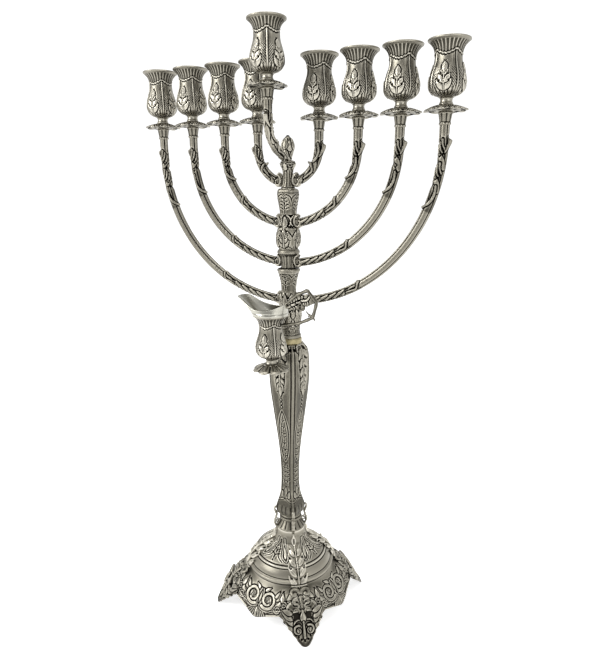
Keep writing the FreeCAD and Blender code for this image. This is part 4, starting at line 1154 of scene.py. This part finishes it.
def make_corner_leaves():
    side = flowing(LEAF_SIDE, 0.36)
    along = tangents(side)
    ground = side - LEAF_SUNK * np.stack([along[:, 1], -along[:, 0]], 1)
    columns = 96
    across = np.linspace(-15.5, 15.5, columns)
    relief = Relief(across[None], arc_run(side)[:, None])
    draw_corner_leaf(relief)
    relief.mirror()
    radius = np.maximum(ground[:, :1], 12.0)
    angle = across[None] / np.maximum(radius, 26.0)
    points = np.stack([ground[:, :1] * np.cos(angle), ground[:, :1] * np.sin(angle),
                       ground[:, 1:] * np.ones(columns)[None]], -1)
    solid = relief.h[:-1, :-1] > 0.3
    mesh = grid_mesh("corner_leaf", points, closed=False, h=relief.h, keep=solid)
    for k, turn in CORNERS:
        place("corner_leaf_%d" % k, mesh, "base", ["base_leaf_mounts"], turn=turn)


FOOT_OUTLINE = [(0.0, 0.4), (0.7, 3.0), (2.5, 5.6), (8.0, 9.6), (14.0, 13.8), (20.0, 18.4), (26.0, 22.8),
                (31.0, 26.4), (35.0, 28.4), (38.5, 26.0), (41.5, 20.0), (45.0, 14.0), (49.0, 10.6),
                (54.0, 11.2), (59.0, 13.4), (63.5, 12.6), (67.0, 9.0)]
FOOT_THICK = 3.0


def draw_foot(relief, half):
    """Cast palmette: bow of two scrolls, side leaves, two hollows, bud, two rosettes and a pierced tip."""
    for at, aim, length, width, bend in (((14.0, 18.0), 40, 12.0, 6.0, 0.15),
                                         ((12.5, 24.0), 44, 15.0, 6.4, 0.15),
                                         ((12.4, 29.5), 26, 16.0, 6.4, 0.18),
                                         ((12.0, 36.0), 10, 14.0, 6.0, 0.2)):
        relief.leaf(at, aim, length, width, 1.4, bend=bend, groove=1.6)
    relief.pit((7.6, 33.5), 9.4, 15.0, 3.6, -12)
    relief.ridge(bow((8.4, 46.5), (1.2, 41.0), -0.2), 3.0, 1.3, (1.0, 0.7), groove=1.3)
    relief.ridge(bow((9.2, 50.5), (1.6, 46.5), -0.2), 2.6, 1.3, (1.0, 0.7), groove=1.2)
    relief.ridge([(0, 66.0), (0, 40.0)], 4.2, 1.7, (1.2, 0.6), groove=1.3, vein=0.5)
    relief.ridge(spiral((6.6, 58.0), 5.6, 0.8, 170, -1), 5.2, 2.0, (1.0, 1.0), groove=1.6)
    relief.ridge(spiral((7.0, 18.0), 5.4, 1.2, 110, -1), 2.6, 1.6, (1.1, 0.8), groove=1.3)
    relief.leaf((6.4, 15.6), 66, 5.0, 3.2, 1.4, groove=0.9)
    relief.ridge(bow((1.0, 27.0), (11.5, 25.0), 0.3), 2.2, 1.3, (1.0, 0.7), groove=1.1)
    relief.leaf((0, 25.0), 90, 15.5, 7.0, 1.9, lobes=1, groove=1.6)
    relief.ridge([(0, 27.0), (0, 10.0)], 3.2, 1.7, (0.7, 1.1), groove=1.3)
    relief.pit((0, 6.8), 2.4, 2.8, 2.0)
    relief.pit((3.9, 8.2), 2.2, 2.4, 2.0)
    relief.pit((7.0, 11.4), 2.0, 2.4, 1.8)
    beside = half - np.abs(relief.u)
    relief.h += 0.7 * bell(beside - 1.0, 0.9) * band(relief.v, -2, 26, 6)


def make_feet():
    side = flowing(FOOT_SIDE, 0.34)
    run = arc_run(side)
    outline = flowing(FOOT_OUTLINE, 0.3)
    half = np.interp(run, outline[:, 0], outline[:, 1])[:, None]
    half = half * (1 + 0.04 * np.cos(run * TURN / 6.6) * np.clip(run / 8, 0, 1))[:, None]
    front, back = 132, 26
    share = np.linspace(-1, 1, front)
    relief = Relief(share[None] * half, run[:, None])
    draw_foot(relief, half)
    relief.mirror()
    radius = side[:, :1]
    lateral = np.concatenate([share, np.linspace(1, -1, back + 2)[1:-1]])
    angle = lateral[None] * half / radius
    away = np.concatenate([np.zeros(front),
                           FOOT_THICK * np.sin(np.linspace(0, math.pi, back + 2)[1:-1]) ** 0.5])
    depth = away[None] * np.clip(half / 5, 0.05, 1)
    points = np.stack([(radius - depth) * np.cos(angle), (radius - depth) * np.sin(angle),
                       np.maximum(side[:, 1:] - 0.35 * depth, 0.15)], -1)
    fade = np.clip((1 - np.abs(share)) / 0.05, 0, 1)[None] * np.clip(run / 1.5, 0, 1)[:, None]
    h = np.concatenate([relief.h * fade, np.zeros((len(run), back))], 1)
    points = points + h[..., None] * facing(points, True)
    points[..., 2] = np.maximum(points[..., 2], 0.1)
    mesh = grid_mesh("foot", points, carved=h, tone=-0.24)
    for k, turn in CORNERS:
        place("foot_%d" % k, mesh, "base", ["base_feet"], turn=turn)


# ---- jug ------------------------------------------------------------------------------------
SPOUT_TIP = -39.5           # from the jug's axis
SPOUT_HALF_LENGTH = 31.5
SPOUT_HEIGHT = 18.0
SPOUT_COLUMNS = 200
SPOUT_ROWS = 46
SADDLE_RADIUS = 43.0        # the mouth dips between spout and handle
SADDLE_Z = 6.0
JUG_FOOT_SIDE = [(6.4, -2.4), (8.2, -2.8), (12.8, -4.2), (17.4, -6.2), (19.0, -7.3), (20.3, -7.3),
                 (20.6, -6.4), (18.6, -4.4), (13.6, -2.0), (9.4, -0.2), (7.2, 0.6), (6.6, 1.4)]


def spout_rows(low_radius, half_length, half_width, rows):
    """Grid of the spout's flaring wall, from the round rim up to its dipping mouth."""
    angles = round_angles(SPOUT_COLUMNS)
    start = np.stack([low_radius * np.cos(angles), low_radius * np.sin(angles), 0 * angles], 1)
    end = np.stack([SPOUT_TIP + SPOUT_HALF_LENGTH + half_length * np.cos(angles), half_width * np.sin(angles),
                    0 * angles + SPOUT_HEIGHT], 1)
    share = np.linspace(0, 1, 240)[:, None]
    x = start[:, 0] + (end[:, 0] - start[:, 0]) * share
    saddle = SADDLE_Z + SADDLE_RADIUS - np.sqrt(np.maximum(SADDLE_RADIUS ** 2 - (x + 2.0) ** 2, 0))
    room = np.minimum(saddle, SPOUT_HEIGHT) - SPOUT_HEIGHT * share
    first = np.argmax(room < 0, 0)
    column = np.arange(SPOUT_COLUMNS)
    before, after = room[first - 1, column], room[first, column]
    crossing = share[first - 1, 0] + (share[1, 0] - share[0, 0]) * before / np.maximum(before - after, 1e-6)
    top = np.where((room < 0).any(0), np.clip(crossing, 0, 1), 1.0)
    top = blurred(np.tile(top, (9, 1)), 0.1, 3.0, True)[4]
    up = np.linspace(0, 1, rows)[:, None, None] * top[None, :, None]
    belly = 1.6 * np.sin(np.clip(up, 0, 1) * math.pi)
    points = start[None] + (end - start)[None] * up
    radial = np.stack([np.cos(angles), np.sin(angles), 0 * angles], 1)[None]
    return points - belly * 0.5 * radial


def spout_mesh(name):
    """Polished spout collar: outside up, a rounded lip, and down the inside; z 0 is the fluted rim."""
    outer = spout_rows(19.9, SPOUT_HALF_LENGTH, 19.8, SPOUT_ROWS)
    inner = spout_rows(18.7, SPOUT_HALF_LENGTH - 1.3, 18.6, 24)[::-1]
    lip = (outer[-1:] + inner[:1]) / 2 + np.array([0, 0, 0.45])
    ledge = outer[:1] + np.array([0, 0, -1.2])
    points = np.concatenate([ledge, outer, lip, inner])
    heights = points[..., 2]
    angles = round_angles(SPOUT_COLUMNS)[None]
    h = 0.45 * bell(heights - 1.2, 0.9) - 0.35 * bell(heights - 3.0, 0.45)
    seam = bell(((angles - math.radians(-62)) + math.pi) % TURN - math.pi, 0.022)
    h = (h - 0.3 * seam) * (np.arange(len(points)) < SPOUT_ROWS)[:, None]
    return grid_mesh(name, points, h=h, material=polished)


def jug_foot_mesh(name):
    """Foot of eight gadrooned petals, hung below the jug's neck; z 0 is the foot of the neck."""
    profile = moulded(JUG_FOOT_SIDE, 0.3, 0.35)
    angles = round_angles(PETAL_COLUMNS)
    petal = np.abs(np.cos(4 * angles))
    outwards = np.clip((profile[:, :1] - 8) / 12.4, 0, 1)
    points = turned_grid(profile, angles, 1 + outwards ** 2 * (0.11 * petal ** 0.6 - 0.10)[None])
    points[..., 2] += outwards ** 3 * (1.7 * (1 - petal))[None]
    radius = profile[:, :1]
    on_top = (np.arange(len(profile)) > np.argmax(profile[:, 0]))[:, None]
    lobe = petal[None] ** 0.55
    h = (3.8 * lobe - 3.1) * band(radius, 9.4, 20.6, 2.0) * on_top
    h = h + 0.35 * np.cos(angles * 24)[None] * band(radius, 9.0, 17.0, 1.5) * on_top
    seam = np.abs((angles + TURN / 16) % (TURN / 8) - TURN / 16)[None] * radius
    h = h - 0.45 * bell(seam, 0.45) * band(radius, 10, 18, 1.5) * on_top
    h = h + 0.4 * bell(radius - 8.4, 0.6) * on_top
    return grid_mesh(name, points, h=h, tone=-0.06)


HANDLE_TWIG = [(18.6, 0, 400), (25.0, 0, 405.5), (33.0, 0, 412.2), (44.0, 0, 417.4), (45.6, 0, 417.2),
               (50.6, 0, 411.5), (55.2, 0, 406.2), (55.4, 0, 404.8), (53.8, 0, 398.0), (51.4, 0, 389.6),
               (50.4, 0, 388.6), (43.0, 0, 385.0), (34.6, 0, 381.2), (24.0, 0, 379.0), (13.0, 0, 376.6)]
THORNS = [((51.2, 0, 390.4), (46.2, 0, 392.2), (43.2, 0, 395.6)),
          ((51.2, 0, 389.6), (53.4, 0, 386.8), (54.0, 0, 385.2)),
          ((50.6, 0, 389.4), (47.6, 0, 390.8), (45.4, 0, 389.0)),
          ((44.6, 0, 417.0), (45.4, 0, 418.6), (45.6, 0, 419.6))]
BAR_COLUMNS = 20


def bar_mesh(name, points, radius, flatten=1.0, step=0.4, softness=0.5):
    """Bar through points in the XZ plane, closed at its ends; radius is one value or one for each end."""
    path = moulded(points, step, softness)
    share = np.linspace(0, 1, len(path))
    ends = np.clip(np.minimum(share, 1 - share) * len(path) / 3, 0.15, 1)
    thick = np.interp(share, np.linspace(0, 1, np.size(radius)), np.atleast_1d(radius)) * ends
    knots = 1 + 0.10 * np.cos(share * TURN * max(2, len(path) / 26))
    grid = tube_grid(path, (0, -1, 0), thick * knots, BAR_COLUMNS)
    grid[..., 1] *= flatten
    phi = round_angles(BAR_COLUMNS)
    return grid_mesh(name, grid, h=0.12 * np.cos(phi * 4)[None] * ends[:, None], tone=-0.22)


LEAF_LINE = [(20.0, 397.0), (31.0, 402.5), (42.0, 407.0), (53.0, 405.5)]


def handle_leaf_mesh(name):
    """Acanthus under the handle's peak: a thin curved plate, carved alike on both faces."""
    spine = flowing(LEAF_LINE, 0.35)
    rows = len(spine)
    share = np.linspace(0, 1, rows)
    half = 1.2 + 6.6 * np.sin(math.pi * share ** 1.15) ** 0.8
    half = half * (1.1 - 0.25 * np.cos(math.pi * (3 * share + 0.1)) ** 2)
    along = tangents(spine)
    left = np.stack([-along[:, 1], along[:, 0]], 1)
    columns = 96
    phi = round_angles(columns)
    across, thick = np.cos(phi), np.sin(phi)
    x = spine[:, :1] + left[:, :1] * across * half[:, None]
    z = spine[:, 1:] + left[:, 1:] * across * half[:, None]
    y = 1.5 * np.sign(thick) * np.abs(thick) ** 0.6 * np.clip(half[:, None] / 2, 0, 1)
    u = across[None] * half[:, None]
    v = (share * arc_run(spine)[-1])[:, None] * np.ones(columns)[None]
    relief = Relief(u, v)
    for k in range(4):
        for side in (-1, 1):
            start = (0.3 * side, 1.5 + 6.6 * k)
            relief.ridge(bow(start, (4.8 * side, 9.4 + 6.6 * k), 0.3 * side), 2.6, 0.7, (1.0, 0.6),
                         groove=0.9)
    relief.pit((-1.0, 16.0), 6.5, 6.5, 1.6)
    points = np.stack([x, y, z], -1)
    return grid_mesh(name, points[:, ::-1], h=relief.h[:, ::-1] * np.abs(thick[::-1])[None] ** 0.5,
                     tone=-0.14)


def make_jug(cup):
    axis_x, axis_y, _ = centre("jug_body")
    neck = low("jug_body")[2]
    rim = neck + (high("cup_left_1")[2] - low("cup_left_1")[2])
    place("jug_body_relief", cup, "jug", ["jug_body"], (axis_x, axis_y, neck))
    place("jug_foot_relief", jug_foot_mesh("jug_foot_petals"), "jug", ["jug_foot"], (axis_x, axis_y, neck))
    place("jug_spout", spout_mesh("jug_spout"), "jug", ["jug_spout_collar"], (axis_x, axis_y, rim),
          slot="bright_rim")
    twig = bar_mesh("jug_handle_twig", HANDLE_TWIG, (2.0, 1.9, 1.8, 1.6), 1.15)
    place("jug_handle_twig", twig, "jug", ["jug_handle"], (0, axis_y, 0))
    for k, thorn in enumerate(THORNS):
        place("jug_handle_thorn_%d" % (k + 1),
              bar_mesh("thorn_%d" % (k + 1), thorn, (1.35, 0.5), step=0.25), "jug", at=(0, axis_y, 0))
    place("jug_handle_leaf", handle_leaf_mesh("handle_leaf"), "jug", at=(0, axis_y, 0))
    curl = in_xz(spiral((39.0, 399.5), 4.6, 1.2, 90, steps=40))
    place("jug_handle_curl", bar_mesh("handle_curl", curl, (1.5, 1.1), 1.9, step=0.25, softness=0.2), "jug",
          at=(0, axis_y, 0))


# ---- kept pieces, floor, light and camera ---------------------------------------------------
def finish_kept(node, material, slot="antique_silver"):
    """A CAD node that stays gets a finished material."""
    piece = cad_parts[node]
    piece.data.materials.clear()
    piece.data.materials.append(material)
    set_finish(piece, slot)


def make_kept():
    for node in ("tie_rod", "base_nut", "base_washer", "stem_rod"):
        finish_kept(node, steel, "steel_rod")
    for node in ("screw_collar", "cup_studs"):
        finish_kept(node, brass, "raw_brass")
    for node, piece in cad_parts.items():
        if not piece.hide_render and not piece.get("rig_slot"):
            finish_kept(node, plain_silver)


def make_floor():
    mesh = bpy.data.meshes.new("floor")
    mesh.from_pydata([(-6, -6, 0), (6, -6, 0), (6, 6, 0), (-6, 6, 0)], [], [(0, 1, 2, 3)])
    floor = bpy.data.objects.new("floor", mesh)
    bpy.context.scene.collection.objects.link(floor)
    paper = bpy.data.materials.new("floor_paper")
    paper.use_nodes = True
    shader = paper.node_tree.nodes["Principled BSDF"]
    shader.inputs["Base Color"].default_value = (0.8, 0.8, 0.8, 1)
    shader.inputs["Roughness"].default_value = 0.9
    shader.inputs["Specular IOR Level"].default_value = 0.1
    shader.inputs["Emission Color"].default_value = (1, 1, 1, 1)
    shader.inputs["Emission Strength"].default_value = 0.65
    mesh.materials.append(paper)


def lamp(name, place_at, aim, size, watts):
    light = bpy.data.lights.new(name, "AREA")
    light.energy = watts
    light.size = size
    item = bpy.data.objects.new(name, light)
    bpy.context.scene.collection.objects.link(item)
    item.location = place_at
    direction = np.array(aim) - np.array(place_at)
    item.rotation_euler = mathutils.Vector(direction).to_track_quat("-Z", "Y").to_euler()


def make_studio():
    world = bpy.data.worlds.new("studio")
    bpy.context.scene.world = world
    world.use_nodes = True
    tree = world.node_tree
    place_node = tree.nodes.new("ShaderNodeTexCoord")
    split = tree.nodes.new("ShaderNodeSeparateXYZ")
    shade = tree.nodes.new("ShaderNodeMapRange")
    for key, value in (("From Min", -0.7), ("From Max", 0.25), ("To Min", 0.5), ("To Max", 1.12)):
        shade.inputs[key].default_value = value
    tree.links.new(place_node.outputs["Generated"], split.inputs["Vector"])
    tree.links.new(split.outputs["Y"], shade.inputs["Value"])
    tree.links.new(shade.outputs["Result"], tree.nodes["Background"].inputs["Strength"])
    tree.nodes["Background"].inputs["Color"].default_value = (1, 1, 1, 1)
    lamp("key", (-1.5, -1.6, 1.5), (0, 0, 0.35), 1.0, 42)
    lamp("fill", (1.9, -1.2, 0.9), (0, 0, 0.3), 1.2, 12)
    lamp("top", (0.0, -0.3, 2.2), (0, 0, 0.3), 1.2, 20)
    bpy.context.scene.view_settings.view_transform = "Standard"


def make_camera():
    lens = bpy.data.cameras.new("camera")
    lens.sensor_width = 36.0
    lens.lens = 30.51
    lens.clip_start = 0.01
    item = bpy.data.objects.new("camera", lens)
    bpy.context.scene.collection.objects.link(item)
    item.location = (0.28946, -0.56685, 0.52072)
    item.rotation_euler = (math.radians(76.07), math.radians(0.157), math.radians(25.86))
    bpy.context.scene.camera = item


make_jug(make_lights())
make_branches()
make_servant_branch()
make_stem()
make_column()
make_knop()
make_base()
make_corner_leaves()
make_feet()
make_kept()
make_floor()
make_studio()
make_camera()
bpy.context.view_layer.update()
